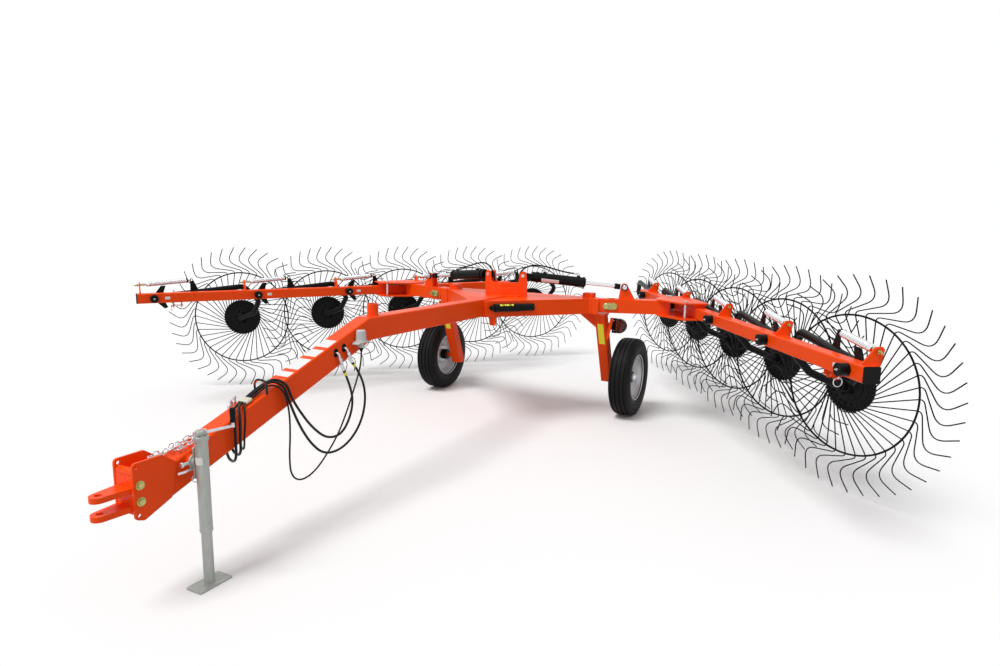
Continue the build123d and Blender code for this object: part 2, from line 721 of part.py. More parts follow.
with BuildPart() as base_pins:
    with BuildSketch(cyl_plane.offset(-EAR_GAP / 2 - EAR_T - 6)):
        Circle(CYL_PIN_R)
    extrude(amount=EAR_GAP + 2 * EAR_T + 6)
    with BuildSketch(cyl_plane.offset(EAR_GAP / 2 + EAR_T)):
        Circle(CYL_PIN_R + 8)
    extrude(amount=8)
    mirror(about=Plane.YZ)
write(base_pins, "cylinder_base_pins")

# The rod's pin shows as a stub in each ear, so that the open eye can drift between them
with BuildPart() as rod_pin:
    for face, direction in ((-EAR_GAP / 2, -1), (EAR_GAP / 2, 1)):
        with BuildSketch(fold_plane.offset(face)):
            with Locations((CYL_EYE_U, CYL_EYE_Z - FOLD_Z)):
                Circle(CYL_PIN_R)
        extrude(amount=direction * (EAR_T + 6))
write_both_sides(rod_pin, "rod_pin")

# Rake beam: square tube with spacers in the clamp, and a bracket for each spring's eyebolt
beam_plane = Plane(origin=wing.from_local_coords(Vector(0, BEAM_BEHIND, BEAM_BOTTOM)),
                   x_dir=wing.x_dir, z_dir=(0, 0, 1))
BEAM_TOP = BEAM_BOTTOM + BEAM
BEAM_BACK = BEAM_BEHIND + BEAM / 2
station_starts = [station * STATION for station in range(STATIONS)]
BRACKET_S = -905.0
BRACKET_T = 10.0
BEAM_CORNER_R = 8.0
EYEBOLT_R = 6.0
EYEBOLT_B = -470.0
EYEBOLT_Z = 1098.0


def upright_plane(behind):
    """A plane across the wing's depth, seen from the front: x along the beam, y up."""
    spot = wing.from_local_coords(Vector(0, behind, 0))
    return Plane(origin=spot, x_dir=wing.x_dir, z_dir=-wing.y_dir)


def across_plane(along):
    """A plane square to the beam: x backwards, y up."""
    return Plane(origin=wing.from_local_coords(Vector(along, 0, 0)), x_dir=wing.y_dir, z_dir=wing.x_dir)


with BuildPart() as rake_beam:
    with BuildSketch(beam_plane):
        with Locations(((BEAM_OUTER + BEAM_INNER) / 2, 0)):
            Rectangle(BEAM_INNER - BEAM_OUTER, BEAM)
    extrude(amount=BEAM)
    fillet(rake_beam.edges().filter_by(lambda edge: edge.length > 2 * STATION), radius=BEAM_CORNER_R)
    spacer_h = ARM_BOTTOM + ARM_H - BEAM_TOP
    with BuildSketch(beam_plane.offset(BEAM)):
        with Locations((PIN_S, 0), (2 * JOINT_S - PIN_S, 0)):
            Rectangle(90, BEAM)
    extrude(amount=spacer_h)
    for start in station_starts:
        with BuildSketch(across_plane(start + BRACKET_S)):
            with BuildLine():
                Polyline(
                    (BEAM_BEHIND, BEAM_TOP - 1),
                    (BEAM_BEHIND - 34, BEAM_TOP - 1),
                    (BEAM_BEHIND - 34, BEAM_TOP + 14),
                    (EYEBOLT_B - 14, EYEBOLT_Z + 20),
                    (EYEBOLT_B + 22, EYEBOLT_Z + 22),
                    (EYEBOLT_B + 34, EYEBOLT_Z + 8),
                    (BEAM_BACK + 2, BEAM_BOTTOM + 14),
                    (BEAM_BACK - 6, BEAM_BOTTOM + 14),
                    close=True,
                )
            make_face()
            with Locations((EYEBOLT_B, EYEBOLT_Z)):
                Circle(EYEBOLT_R + 1, mode=Mode.SUBTRACT)
        extrude(amount=BRACKET_T / 2, both=True)
    for along in LOCK_EARS:
        with BuildSketch(across_plane(along)):
            with Locations((BEAM_BEHIND, BEAM_BOTTOM - LOCK_DROP / 2)):
                Rectangle(BEAM - 24, LOCK_DROP)
            with Locations((BEAM_BEHIND, BEAM_BOTTOM - LOCK_DROP)):
                Circle(18)
            with Locations((BEAM_BEHIND, BEAM_BOTTOM - LOCK_DROP)):
                Circle(LOCK_BOLT_R + 0.1, mode=Mode.SUBTRACT)
        extrude(amount=4, both=True)
    add(fold_arm.part, mode=Mode.SUBTRACT)
    with BuildSketch(upright_plane(BEAM_BACK)):
        for start in station_starts:
            with Locations((start + PIVOT_S, PIVOT_Z)):
                Circle(PIVOT_PIN_R + 0.1)
    extrude(amount=BEAM, mode=Mode.SUBTRACT)
write_both_sides(rake_beam, "rake_beam")

with BuildPart() as beam_caps:
    for end, direction in ((BEAM_OUTER, -1), (BEAM_INNER, 1)):
        end_spot = wing.from_local_coords(Vector(end, BEAM_BEHIND, BEAM_BOTTOM + BEAM / 2))
        with BuildSketch(Plane(origin=end_spot, x_dir=(0, 0, 1), z_dir=wing.x_dir * direction)):
            RectangleRounded(BEAM, BEAM, 8)
        extrude(amount=9)
write_both_sides(beam_caps, "beam_caps")

# Pivot pins through the beam, each with a round cap in front and a washer on the sleeve's end
with BuildPart() as pivot_pins:
    for start in station_starts:
        with BuildSketch(upright_plane(BEAM_BACK + SLEEVE_LEN)):
            with Locations((start + PIVOT_S, PIVOT_Z)):
                Circle(PIVOT_PIN_R)
        extrude(amount=SLEEVE_LEN + BEAM)
        with BuildSketch(upright_plane(BEAM_BACK + SLEEVE_LEN)):
            with Locations((start + PIVOT_S, PIVOT_Z)):
                Circle(PIVOT_PIN_R + 9)
        extrude(amount=-6)
        with BuildSketch(upright_plane(BEAM_BACK - BEAM)):
            with Locations((start + PIVOT_S, PIVOT_Z)):
                Circle(PIVOT_CAP_R)
        extrude(amount=PIVOT_CAP_LEN)
write_both_sides(pivot_pins, "pivot_pins")

# Wheel arms: sleeve on the pivot, gooseneck tube, spring ear, stop plate and wheel spindle
wheel_front = Vector(-math.sin(wheel_turn - beam_turn), -math.cos(wheel_turn - beam_turn), 0)
spindle_end = wheel_front * SPINDLE_LEN
TUBE_BEHIND = BEAM_BACK + 32
ELBOW_S = -35.0
ELBOW_BACK = 55.0
arm_route = [
    (PIVOT_S, TUBE_BEHIND, PIVOT_Z),
    (ELBOW_S, TUBE_BEHIND + ELBOW_BACK, 1050),
    (105, TUBE_BEHIND + 88, 905),
    (70, -235, 770),
    (spindle_end.X, spindle_end.Y, HUB_Z),
]
arm_bends = (70, 70, 55)
EAR_S = -484.0
EAR_Z = 1125.0
EAR_B = TUBE_BEHIND + ELBOW_BACK * (EAR_S - PIVOT_S) / (ELBOW_S - PIVOT_S)
EAR_HOLE_R = 8.0
STOP_B = BEAM_BACK + 3
hub_spot = wing.from_local_coords(Vector(0, 0, HUB_Z))
hub_front = wing.x_dir * wheel_front.X + wing.y_dir * wheel_front.Y
with BuildPart() as wheel_arm:
    with BuildLine() as arm_path:
        FilletPolyline(*[wing.from_local_coords(Vector(spot)) for spot in arm_route], radius=arm_bends)
    with BuildSketch(Plane(origin=arm_path.line @ 0, z_dir=arm_path.line % 0)):
        Circle(WHEEL_ARM_R)
    sweep(path=arm_path.line)
    with BuildSketch(upright_plane(BEAM_BACK + 0.3)):
        with Locations((PIVOT_S, PIVOT_Z)):
            Circle(SLEEVE_R)
    extrude(amount=-SLEEVE_LEN + 0.6)
    with BuildSketch(upright_plane(STOP_B)):
        with BuildLine():
            Polyline(
                (PIVOT_S + 8, PIVOT_Z + 28),
                (PIVOT_S + 62, PIVOT_Z + 100),
                (PIVOT_S + 100, PIVOT_Z + 100),
                (PIVOT_S + 78, PIVOT_Z + 30),
                (PIVOT_S + 78, PIVOT_Z - 20),
                (PIVOT_S + 112, PIVOT_Z - 92),
                (PIVOT_S + 82, PIVOT_Z - 104),
                (PIVOT_S + 8, PIVOT_Z - 28),
                close=True,
            )
        make_face()
    extrude(amount=-12)
    with BuildSketch(upright_plane(EAR_B)):
        with BuildLine():
            Polyline(
                (EAR_S - 14, EAR_Z - 95),
                (EAR_S - 14, EAR_Z + 8),
                (EAR_S - 6, EAR_Z + 15),
                (EAR_S + 8, EAR_Z + 13),
                (EAR_S + 55, EAR_Z - 93),
                close=True,
            )
        make_face()
        with Locations((EAR_S, EAR_Z)):
            Circle(EAR_HOLE_R, mode=Mode.SUBTRACT)
    extrude(amount=4, both=True)
    with BuildSketch(Plane(origin=hub_spot + hub_front * (SPINDLE_LEN + 10), z_dir=hub_front)):
        Circle(WHEEL_ARM_R + 4)
    extrude(amount=-36)
    with BuildSketch(Plane(origin=hub_spot + hub_front * SPINDLE_LEN, z_dir=hub_front)):
        Circle(RAKE_SPINDLE_R)
    extrude(amount=-SPINDLE_LEN + 4)
    with BuildSketch(upright_plane(BEAM_BACK)):
        with Locations((PIVOT_S, PIVOT_Z)):
            Circle(PIVOT_PIN_R + 0.1)
    extrude(amount=-SLEEVE_LEN - 10, mode=Mode.SUBTRACT)

with BuildPart() as wheel_arms:
    for start in station_starts:
        with Locations(Location(wing.x_dir * start)):
            add(wheel_arm.part)
write_both_sides(wheel_arms, "wheel_arms")

# Springs with their eyebolts, from the bracket on the beam to the arm's ear
SPRING_START = 105.0
SPRING_LEN = 262.0
bolt_spot = wing.from_local_coords(Vector(BRACKET_S, EYEBOLT_B, EYEBOLT_Z))
ear_spot = wing.from_local_coords(Vector(EAR_S, EAR_B, EAR_Z))
spring_run = (ear_spot - bolt_spot).length
spring_dir = (ear_spot - bolt_spot).normalized()
with BuildPart() as springs:
    for start in station_starts:
        spot = bolt_spot + wing.x_dir * start
        with BuildSketch(Plane(origin=spot - spring_dir * 42, z_dir=spring_dir)):
            Circle(EYEBOLT_R)
        extrude(amount=42 + SPRING_START)
        for nut in (-22, BRACKET_T / 2 + 2.5):
            with BuildSketch(Plane(origin=spot + spring_dir * nut, z_dir=spring_dir)):
                RegularPolygon(EYEBOLT_R + 4, 6)
            extrude(amount=10)
        with BuildSketch(Plane(origin=spot + spring_dir * SPRING_START, z_dir=spring_dir)):
            Circle(SPRING_R)
        extrude(amount=SPRING_LEN)
        with BuildSketch(Plane(origin=spot + spring_dir * (SPRING_START + SPRING_LEN), z_dir=spring_dir)):
            Circle(EYEBOLT_R)
        extrude(amount=spring_run - SPRING_START - SPRING_LEN - 15)
write_both_sides(springs, "springs")

# Rake wheel: one layer of bent tines on a disc, a ring in front of them, and a hub
in_plane = Vector(math.sin(wheel_turn), math.cos(wheel_turn), 0)
behind_wheel = Vector(-math.cos(wheel_turn), math.sin(wheel_turn), 0)
RING_GAP = 0.2
HUB_FRONT = 62.0
HUB_BACK = 26.0
with BuildSketch() as tine:
    with BuildLine():
        FilletPolyline((123, 60), (123, RING_R + 4), (296, 467), (388, 582), radius=(TINE_BEND_R, TINE_TIP_R))
    trace(line_width=TINE_W)
for station in range(STATIONS):
    hub = wing.from_local_coords(Vector(station * STATION, 0, HUB_Z))
    spin = Plane(origin=hub, x_dir=in_plane, z_dir=behind_wheel)
    with BuildPart() as rake_wheel:
        with BuildSketch(spin.offset(-TINE_T / 2)):
            with PolarLocations(0, TINES):
                add(tine.sketch)
            Circle(DISC_R)
            Circle(RAKE_BORE_R, mode=Mode.SUBTRACT)
        extrude(amount=TINE_T)
        with BuildSketch(spin.offset(-TINE_T / 2)):
            Circle(95)
            Circle(RAKE_BORE_R, mode=Mode.SUBTRACT)
        extrude(amount=-8)
        with BuildSketch(spin.offset(-TINE_T / 2)):
            Circle(40)
            Circle(RAKE_BORE_R, mode=Mode.SUBTRACT)
        extrude(amount=-HUB_FRONT + TINE_T / 2)
        with BuildSketch(spin.offset(TINE_T / 2)):
            Circle(48)
        extrude(amount=HUB_BACK)
        with BuildSketch(spin.offset(-TINE_T / 2 - RING_GAP)):
            Circle(RING_R + RING_T / 2)
            Circle(RING_R - RING_T / 2, mode=Mode.SUBTRACT)
        extrude(amount=-RING_T)
    write_both_sides(rake_wheel, f"rake_wheel_{station + 1}")

# Parking socket on the tongue's right side, and the light cable's plug in it
SOCKET_X = TONGUE_W / 2 + 33
SOCKET_Y = HITCH_Y + 1575
SOCKET_Z = 968.0
SOCKET_R = 31.0
PLUG_R = 15.5
PLUG_END_Z = 915.0
FLANGE_T = 8.0
with BuildPart() as parking_socket:
    with BuildSketch(Plane.XY.offset(SOCKET_Z - FLANGE_T)):
        with Locations((TONGUE_W / 2 + SOCKET_R + 4, SOCKET_Y)):
            Rectangle(2 * SOCKET_R + 8, 2 * SOCKET_R + 12)
    extrude(amount=FLANGE_T)
    with BuildSketch(Plane.XY.offset(SOCKET_Z)):
        with Locations((SOCKET_X, SOCKET_Y)):
            Circle(SOCKET_R)
    extrude(amount=66, taper=4)
    fillet(parking_socket.faces().sort_by(Axis.Z)[-1].edges(), radius=5)
write(parking_socket, "parking_socket")

with BuildPart() as light_plug:
    for bottom, top, size in ((PLUG_END_Z, 928, 11.5), (928, SOCKET_Z - FLANGE_T, PLUG_R)):
        with BuildSketch(Plane.XY.offset(bottom)):
            with Locations((SOCKET_X, SOCKET_Y)):
                Circle(size)
        extrude(amount=top - bottom)
    with BuildSketch(Plane.XY.offset(932)):
        with Locations((SOCKET_X, SOCKET_Y)):
            Rectangle(14, 46)
    extrude(amount=10)
write(light_plug, "light_plug")

# Document tube along the front of the frame's right diagonal
DOC_TUBE_R = 33.0
DOC_TUBE_Z = 1003.0
diagonal_start = Vector(DELTA_HALF, DELTA_TIP_Y, DOC_TUBE_Z)
diagonal_dir = (Vector(DIAGONAL_X, DIAGONAL_Y, DOC_TUBE_Z) - diagonal_start).normalized()
diagonal_front = Vector(diagonal_dir.Y, -diagonal_dir.X, 0)
doc_start = diagonal_start + diagonal_dir * 62 + diagonal_front * (DOC_TUBE_R + 0.3)
with BuildPart() as document_tube:
    for start, length, size in ((-42, 12, 8), (-30, 30, 21), (0, 214, DOC_TUBE_R), (214, 128, DOC_TUBE_R - 3)):
        with BuildSketch(Plane(origin=doc_start + diagonal_dir * start, z_dir=diagonal_dir)):
            Circle(size)
        extrude(amount=length)
write(document_tube, "document_tube")

# Hoses and light cable: loops on the tongue's right side, then through the hoop and once round the tongue
HOSE_ROUTES = (
    (
        (78, -1800, 815), (84, -1765, 740), (94, -1740, 630), (100, -1775, 530), (104, -1860, 445),
        (104, -1985, 455), (102, -2100, 555), (98, -2185, 670), (92, -2232, 752), (82, -2252, 832),
        (30, -2298, 862), (-14, -2362, 818), (-14, -2440, 782), (-2, -2515, 758), (40, -2570, 752),
        (86, -2598, 700), (88, -2600, 610), (78, -2592, 530), (30, -2570, 488), (-42, -2545, 492),
        (-84, -2520, 555), (-84, -2500, 635), (-82, -2490, 700),
    ),
    (
        (78, -1725, 850), (92, -1670, 775), (104, -1635, 650), (110, -1665, 520), (114, -1755, 415),
        (114, -1885, 360), (112, -2020, 375), (107, -2115, 465), (100, -2185, 580), (94, -2232, 690),
        (90, -2256, 765), (84, -2276, 828), (38, -2320, 856), (6, -2380, 812), (4, -2450, 780),
        (16, -2505, 767), (56, -2545, 765), (88, -2568, 700), (88, -2572, 615), (78, -2563, 550),
        (32, -2540, 514), (-42, -2515, 518), (-84, -2490, 578), (-84, -2470, 655), (-82, -2462, 715),
    ),
)
CABLE_ROUTE = (
    (88, -1650, 915), (88, -1650, 845), (68, -1665, 745), (58, -1705, 645), (56, -1762, 540),
    (56, -1830, 440), (58, -1925, 350), (62, -2045, 268), (68, -2165, 255), (74, -2238, 315),
    (80, -2250, 425), (86, -2244, 540), (92, -2248, 655), (95, -2266, 745), (90, -2294, 816),
    (46, -2338, 842), (24, -2396, 800), (23, -2458, 773), (34, -2498, 766), (68, -2520, 758),
    (88, -2536, 700), (84, -2543, 625), (76, -2540, 562), (32, -2512, 536), (-34, -2470, 538),
    (-74, -2435, 585), (-80, -2410, 655), (-80, -2410, 720),
)


def bend_radii(route):
    """For each corner of a route the largest radius that its two runs allow."""
    radii = []
    for before, here, after in zip(route, route[1:], route[2:]):
        into = Vector(*here) - Vector(*before)
        out = Vector(*after) - Vector(*here)
        half_turn = math.radians(into.get_angle(out)) / 2
        radii.append(0.45 * min(into.length, out.length) / math.tan(half_turn))
    return radii


def write_cord(route, cord_r, label):
    """Sweeps a round cord along straight runs and tangent arcs, and prints its radii, length and volume share."""
    radii = bend_radii(route)
    with BuildPart() as cord:
        with BuildLine() as path:
            FilletPolyline(*route, radius=radii)
        with BuildSketch(Plane(origin=path.line @ 0, z_dir=path.line % 0)):
            Circle(cord_r)
        sweep(path=path.line)
    share = cord.part.volume / (math.pi * cord_r ** 2 * path.wire().length)
    print(label, "radii", [round(radius) for radius in radii], "length", round(path.wire().length), "share", round(share, 4))
    write(cord, label)


write_cord(HOSE_ROUTES[0], HOSE_R, "hose_1")
write_cord(HOSE_ROUTES[1], HOSE_R, "hose_2")
write_cord(CABLE_ROUTE, CABLE_R, "light_cable")

# Hose fittings: a stub out of each slot in the tongue, and a pipe down to the hose
with BuildPart() as hose_fittings:
    for (exit_y, exit_z), route in zip(HOSE_EXITS, HOSE_ROUTES):
        elbow = Vector(TONGUE_W / 2 + 20, exit_y, exit_z)
        hose_start = Vector(*route[0])
        hose_dir = (Vector(*route[1]) - hose_start).normalized()
        with BuildSketch(Plane.YZ.offset(TONGUE_W / 2 - HOSE_SLOT_DEEP)):
            with Locations((exit_y, exit_z)):
                Circle(FITTING_R)
        extrude(amount=HOSE_SLOT_DEEP + 20)
        with Locations(elbow):
            Sphere(FITTING_R)
        pipe = hose_start - elbow
        with BuildSketch(Plane(origin=elbow, z_dir=pipe)):
            Circle(FITTING_R)
        extrude(amount=pipe.length - 20)
        with BuildSketch(Plane(origin=hose_start - hose_dir * 28, z_dir=hose_dir)):
            RegularPolygon(FITTING_R + 3, 6)
        extrude(amount=28)
    for route in HOSE_ROUTES:
        hose_end = Vector(*route[-1])
        hose_dir = (hose_end - Vector(*route[-2])).normalized()
        with BuildSketch(Plane(origin=hose_end, z_dir=hose_dir)):
            Circle(HOSE_R + 6)
        extrude(amount=48)
        with BuildSketch(Plane(origin=hose_end + hose_dir * 48, z_dir=hose_dir)):
            Circle(HOSE_R + 2)
        extrude(amount=26)
write(hose_fittings, "hose_fittings")
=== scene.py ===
import bmesh
import bpy
import math
from mathutils import Matrix, Vector


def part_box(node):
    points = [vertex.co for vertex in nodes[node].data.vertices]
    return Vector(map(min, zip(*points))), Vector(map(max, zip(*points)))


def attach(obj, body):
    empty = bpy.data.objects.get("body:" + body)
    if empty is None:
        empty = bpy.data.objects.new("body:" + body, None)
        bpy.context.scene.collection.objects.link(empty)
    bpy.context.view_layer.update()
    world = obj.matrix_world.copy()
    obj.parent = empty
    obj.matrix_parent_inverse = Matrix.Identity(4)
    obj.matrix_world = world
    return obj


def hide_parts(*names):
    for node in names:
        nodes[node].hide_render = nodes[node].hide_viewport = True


# Ten wheel towed V rake, in metres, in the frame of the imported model.
# -Y is forwards to the hitch, left is -X, and the ground is z = 0.
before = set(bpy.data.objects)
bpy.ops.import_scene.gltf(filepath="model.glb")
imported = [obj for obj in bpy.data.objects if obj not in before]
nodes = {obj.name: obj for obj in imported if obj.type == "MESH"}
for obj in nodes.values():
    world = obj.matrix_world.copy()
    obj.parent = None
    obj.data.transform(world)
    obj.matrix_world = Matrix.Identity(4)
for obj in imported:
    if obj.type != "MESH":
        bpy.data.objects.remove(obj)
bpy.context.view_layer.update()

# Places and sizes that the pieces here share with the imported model
AXLE_Y = 0.930
TRACK = 0.987
TYRE_R = 0.345
HITCH_Y = AXLE_Y - 4.155
BEAM_TURN = math.radians(32.4)
WHEEL_TURN = math.radians(53.7)
HUB_X = 2.720
HUB_Y = AXLE_Y - 1.011
HUB_Z = 0.705
STATION = 0.863
STATIONS = 5
BEAM = 0.085
BEAM_BOTTOM = 0.9423
BEAM_BEHIND = -0.5075
BEAM_AHEAD = 0.5075
BEAM_BACK = BEAM_BEHIND + BEAM / 2
PIVOT_S = -0.801
PIVOT_Z = 0.985
PIVOT_CAP_FRONT = BEAM_BACK - BEAM - 0.052
BEAM_TOP = BEAM_BOTTOM + BEAM
SWEEP = math.radians(20)
FOLD_X = 0.835
FOLD_Y = AXLE_Y - 0.251
FOLD_Z = 1.0
CYL_BASE = (-0.720, 1.235)
CYL_EYE = (0.145, 1.160)
EAR_OUTER = 0.034
EAR_CURVE = 0.034
EDGE_U = CYL_BASE[0] + 0.034
SADDLE_U = -0.786
SADDLE_Z = 1.172
SADDLE_CURVE = 0.035
FOLD_PLATE_FRONT = 0.063
BARREL_START = 0.078
BARREL_LEN = 0.455
BARREL_R = 0.042
TONGUE_HALF = 0.055
TONGUE_SLOPE = 0.3511
LEG_X = 0.790
LEG_HALF = 0.045
JACK_X = 0.138
JACK_Y = AXLE_Y - 3.760
JACK_R = 0.0285
JACK_TOP = 0.716
FRAME_TOP = 1.055
LAMP_X = LEG_X + LEG_HALF + 0.006
LAMP_Y = AXLE_Y - 0.080
LAMP_Z = 0.805
LAMP_HALF = 0.020
HOSE_EXITS = ((HITCH_Y + 1.388, 0.922), (HITCH_Y + 1.458, 0.941))
HOOP_X = 0.009
HOOP_Y = HITCH_Y + 0.865
HOOP_HALF = 0.043
HOOP_FOOT = 0.7908
HOOP_TOP = 0.8628
SOCKET = Vector((0.088, HITCH_Y + 1.575, 0.968))
SIDES = (("left", -1), ("right", 1))
ACROSS = Vector((1, 0, 0))
BACK = Vector((0, 1, 0))
UP = Vector((0, 0, 1))
DOWN = Vector((0, 0, -1))
TONGUE_ALONG = Vector((0, 1, TONGUE_SLOPE)).normalized()
TONGUE_LIFT = Vector((0, -TONGUE_SLOPE, 1)).normalized()

# Camera: solved from the photograph
CAMERA_SPOT = Vector((2.6553, -4.7553, 1.6848))
CAMERA_YAW = math.radians(27.62)
CAMERA_PITCH = math.radians(9.43)
CAMERA_ROLL = math.radians(0.908)
SENSOR = 36.0
LENS = 0.66548 * SENSOR
CLIP_END = 100


def make_camera():
    """Puts the camera where the photograph was taken from."""
    ahead = Vector((-math.sin(CAMERA_YAW) * math.cos(CAMERA_PITCH),
                    math.cos(CAMERA_YAW) * math.cos(CAMERA_PITCH),
                    -math.sin(CAMERA_PITCH)))
    level = Vector((math.cos(CAMERA_YAW), math.sin(CAMERA_YAW), 0))
    upright = level.cross(ahead)
    right = level * math.cos(CAMERA_ROLL) + upright * math.sin(CAMERA_ROLL)
    up = upright * math.cos(CAMERA_ROLL) - level * math.sin(CAMERA_ROLL)
    data = bpy.data.cameras.new("camera")
    data.sensor_width = SENSOR
    data.lens = LENS
    data.clip_end = CLIP_END
    camera = bpy.data.objects.new("camera", data)
    bpy.context.scene.collection.objects.link(camera)
    turn = Matrix((right, up, -ahead)).transposed().to_4x4()
    camera.matrix_world = Matrix.Translation(CAMERA_SPOT) @ turn
    bpy.context.scene.camera = camera


# Materials
NOISE_ROUGHNESS = 0.55
NOISE_LOW = 0.3
NOISE_HIGH = 0.7
CHIP_SCALE = 90


def new_material(name):
    """A material, its node tree and its shader."""
    material = bpy.data.materials.new(name)
    material.use_nodes = True
    tree = material.node_tree
    shader = tree.nodes["Principled BSDF"]
    return material, tree, shader


def noise(tree, scale, detail=4.0, stretch=(1, 1, 1)):
    """Noise in the object's own coordinates."""
    place = tree.nodes.new("ShaderNodeTexCoord")
    mapping = tree.nodes.new("ShaderNodeMapping")
    mapping.inputs["Scale"].default_value = stretch
    texture = tree.nodes.new("ShaderNodeTexNoise")
    texture.inputs["Scale"].default_value = scale
    texture.inputs["Detail"].default_value = detail
    texture.inputs["Roughness"].default_value = NOISE_ROUGHNESS
    tree.links.new(place.outputs["Object"], mapping.inputs["Vector"])
    tree.links.new(mapping.outputs["Vector"], texture.inputs["Vector"])
    return texture.outputs["Fac"]


def ramp(tree, value, stops):
    """A colour ramp through the stops, each a position and a colour."""
    node = tree.nodes.new("ShaderNodeValToRGB")
    node.color_ramp.elements[0].position = stops[0][0]
    node.color_ramp.elements[0].color = (*stops[0][1], 1)
    node.color_ramp.elements[1].position = stops[-1][0]
    node.color_ramp.elements[1].color = (*stops[-1][1], 1)
    for position, colour in stops[1:-1]:
        element = node.color_ramp.elements.new(position)
        element.color = (*colour, 1)
    tree.links.new(value, node.inputs["Fac"])
    return node.outputs["Color"]


def remap(tree, value, low, high):
    """Spreads a value's middle range between two numbers."""
    node = tree.nodes.new("ShaderNodeMapRange")
    node.inputs["From Min"].default_value = NOISE_LOW
    node.inputs["From Max"].default_value = NOISE_HIGH
    node.inputs["To Min"].default_value = low
    node.inputs["To Max"].default_value = high
    tree.links.new(value, node.inputs["Value"])
    return node.outputs["Result"]


def bump(tree, shader, value, distance):
    """Bumps the surface by the value over a distance in metres."""
    node = tree.nodes.new("ShaderNodeBump")
    node.inputs["Distance"].default_value = distance
    node.inputs["Strength"].default_value = 1.0
    tree.links.new(value, node.inputs["Height"])
    tree.links.new(node.outputs["Normal"], shader.inputs["Normal"])
    return node


def scaled(colour, factor):
    """A colour made lighter or darker."""
    return tuple(min(1.0, channel * factor) for channel in colour)


def soft_edges(tree, bump_node, radius):
    """Rounds the edges in the shading, and gives a mask that is 1 on them."""
    edge = tree.nodes.new("ShaderNodeBevel")
    edge.samples = 6
    edge.inputs["Radius"].default_value = radius
    tree.links.new(edge.outputs["Normal"], bump_node.inputs["Normal"])
    flat = tree.nodes.new("ShaderNodeNewGeometry")
    product = tree.nodes.new("ShaderNodeVectorMath")
    product.operation = "DOT_PRODUCT"
    tree.links.new(edge.outputs["Normal"], product.inputs[0])
    tree.links.new(flat.outputs["Normal"], product.inputs[1])
    mask = tree.nodes.new("ShaderNodeMapRange")
    mask.inputs["From Min"].default_value = 0.99
    mask.inputs["From Max"].default_value = 0.90
    tree.links.new(product.outputs["Value"], mask.inputs["Value"])
    return mask.outputs["Result"]


def worn_edges(tree, base, mask, worn):
    """Mixes the colour of worn paint into the base, where the edges' mask and small chips meet."""
    chips = remap(tree, noise(tree, CHIP_SCALE, detail=5), -0.5, 0.8)
    rubbed = tree.nodes.new("ShaderNodeMath")
    rubbed.operation = "MULTIPLY"
    rubbed.use_clamp = True
    tree.links.new(mask, rubbed.inputs[0])
    tree.links.new(chips, rubbed.inputs[1])
    mix = tree.nodes.new("ShaderNodeMix")
    mix.data_type = "RGBA"
    mix.inputs["B"].default_value = (*worn, 1)
    tree.links.new(rubbed.outputs["Value"], mix.inputs["Factor"])
    tree.links.new(base, mix.inputs["A"])
    return mix.outputs["Result"]


def surface(name, colour, roughness, metallic=0.0, vary=0.12, vary_scale=6.0, rough_vary=0.08,
            bump_scale=60.0, bump_depth=0.0002, coat=0.0, specular=0.5, edge=0.0, worn=None,
            stretch=(1, 1, 1)):
    """A finish with cloudy colour, uneven gloss, a fine bump, and soft edges that can be a little worn."""
    material, tree, shader = new_material(name)
    clouds = noise(tree, vary_scale, stretch=stretch)
    stops = ((NOISE_LOW, scaled(colour, 1 - vary)), (NOISE_HIGH, scaled(colour, 1 + vary)))
    base = ramp(tree, clouds, stops)
    spots = noise(tree, vary_scale * 7, detail=6)
    gloss = remap(tree, spots, max(0.02, roughness - rough_vary), min(1.0, roughness + rough_vary))
    tree.links.new(gloss, shader.inputs["Roughness"])
    shader.inputs["Metallic"].default_value = metallic
    shader.inputs["Coat Weight"].default_value = coat
    shader.inputs["Coat Roughness"].default_value = 0.08
    shader.inputs["Specular IOR Level"].default_value = specular
    relief = bump(tree, shader, noise(tree, bump_scale, detail=3, stretch=stretch), bump_depth)
    if edge > 0:
        mask = soft_edges(tree, relief, edge)
        if worn is not None:
            base = worn_edges(tree, base, mask, worn)
    tree.links.new(base, shader.inputs["Base Color"])
    return material


orange_paint = surface("orange_paint", (0.96, 0.074, 0.003), 0.36, vary=0.04, vary_scale=3.0,
                       rough_vary=0.04, bump_scale=160, bump_depth=0.00004, coat=0.03, specular=0.14,
                       edge=0.003, worn=(0.95, 0.20, 0.06))
black_paint = surface("black_paint", (0.003, 0.003, 0.0033), 0.36, vary=0.3, bump_scale=220,
                      bump_depth=0.0001, specular=0.12, edge=0.002, worn=(0.06, 0.06, 0.06))
tine_steel = surface("tine_steel", (0.0035, 0.0055, 0.006), 0.35, vary=0.4, vary_scale=20, bump_scale=300,
                     bump_depth=0.00005, specular=0.10)
disc_black = surface("disc_black", (0.003, 0.003, 0.0033), 0.4, vary=0.35, vary_scale=14, bump_scale=260,
                     bump_depth=0.00015, specular=0.12, edge=0.0015, worn=(0.05, 0.05, 0.05))
rim_silver = surface("rim_silver", (0.60, 0.61, 0.64), 0.36, metallic=0.45, vary=0.12, vary_scale=14,
                     bump_scale=120, bump_depth=0.0001, coat=0.2, edge=0.002)
zinc = surface("zinc", (0.66, 0.66, 0.68), 0.3, metallic=0.85, vary=0.1, vary_scale=30, bump_scale=300,
               bump_depth=0.00005, edge=0.0012)
yellow_zinc = surface("yellow_zinc", (0.44, 0.42, 0.16), 0.28, metallic=0.85, vary=0.22, vary_scale=26,
                      bump_scale=300, bump_depth=0.00005, edge=0.0012)
galvanized = surface("galvanized", (0.42, 0.44, 0.41), 0.5, metallic=0.5, vary=0.12, vary_scale=30,
                     bump_scale=110, bump_depth=0.0003, edge=0.0015, stretch=(1, 1, 0.35))
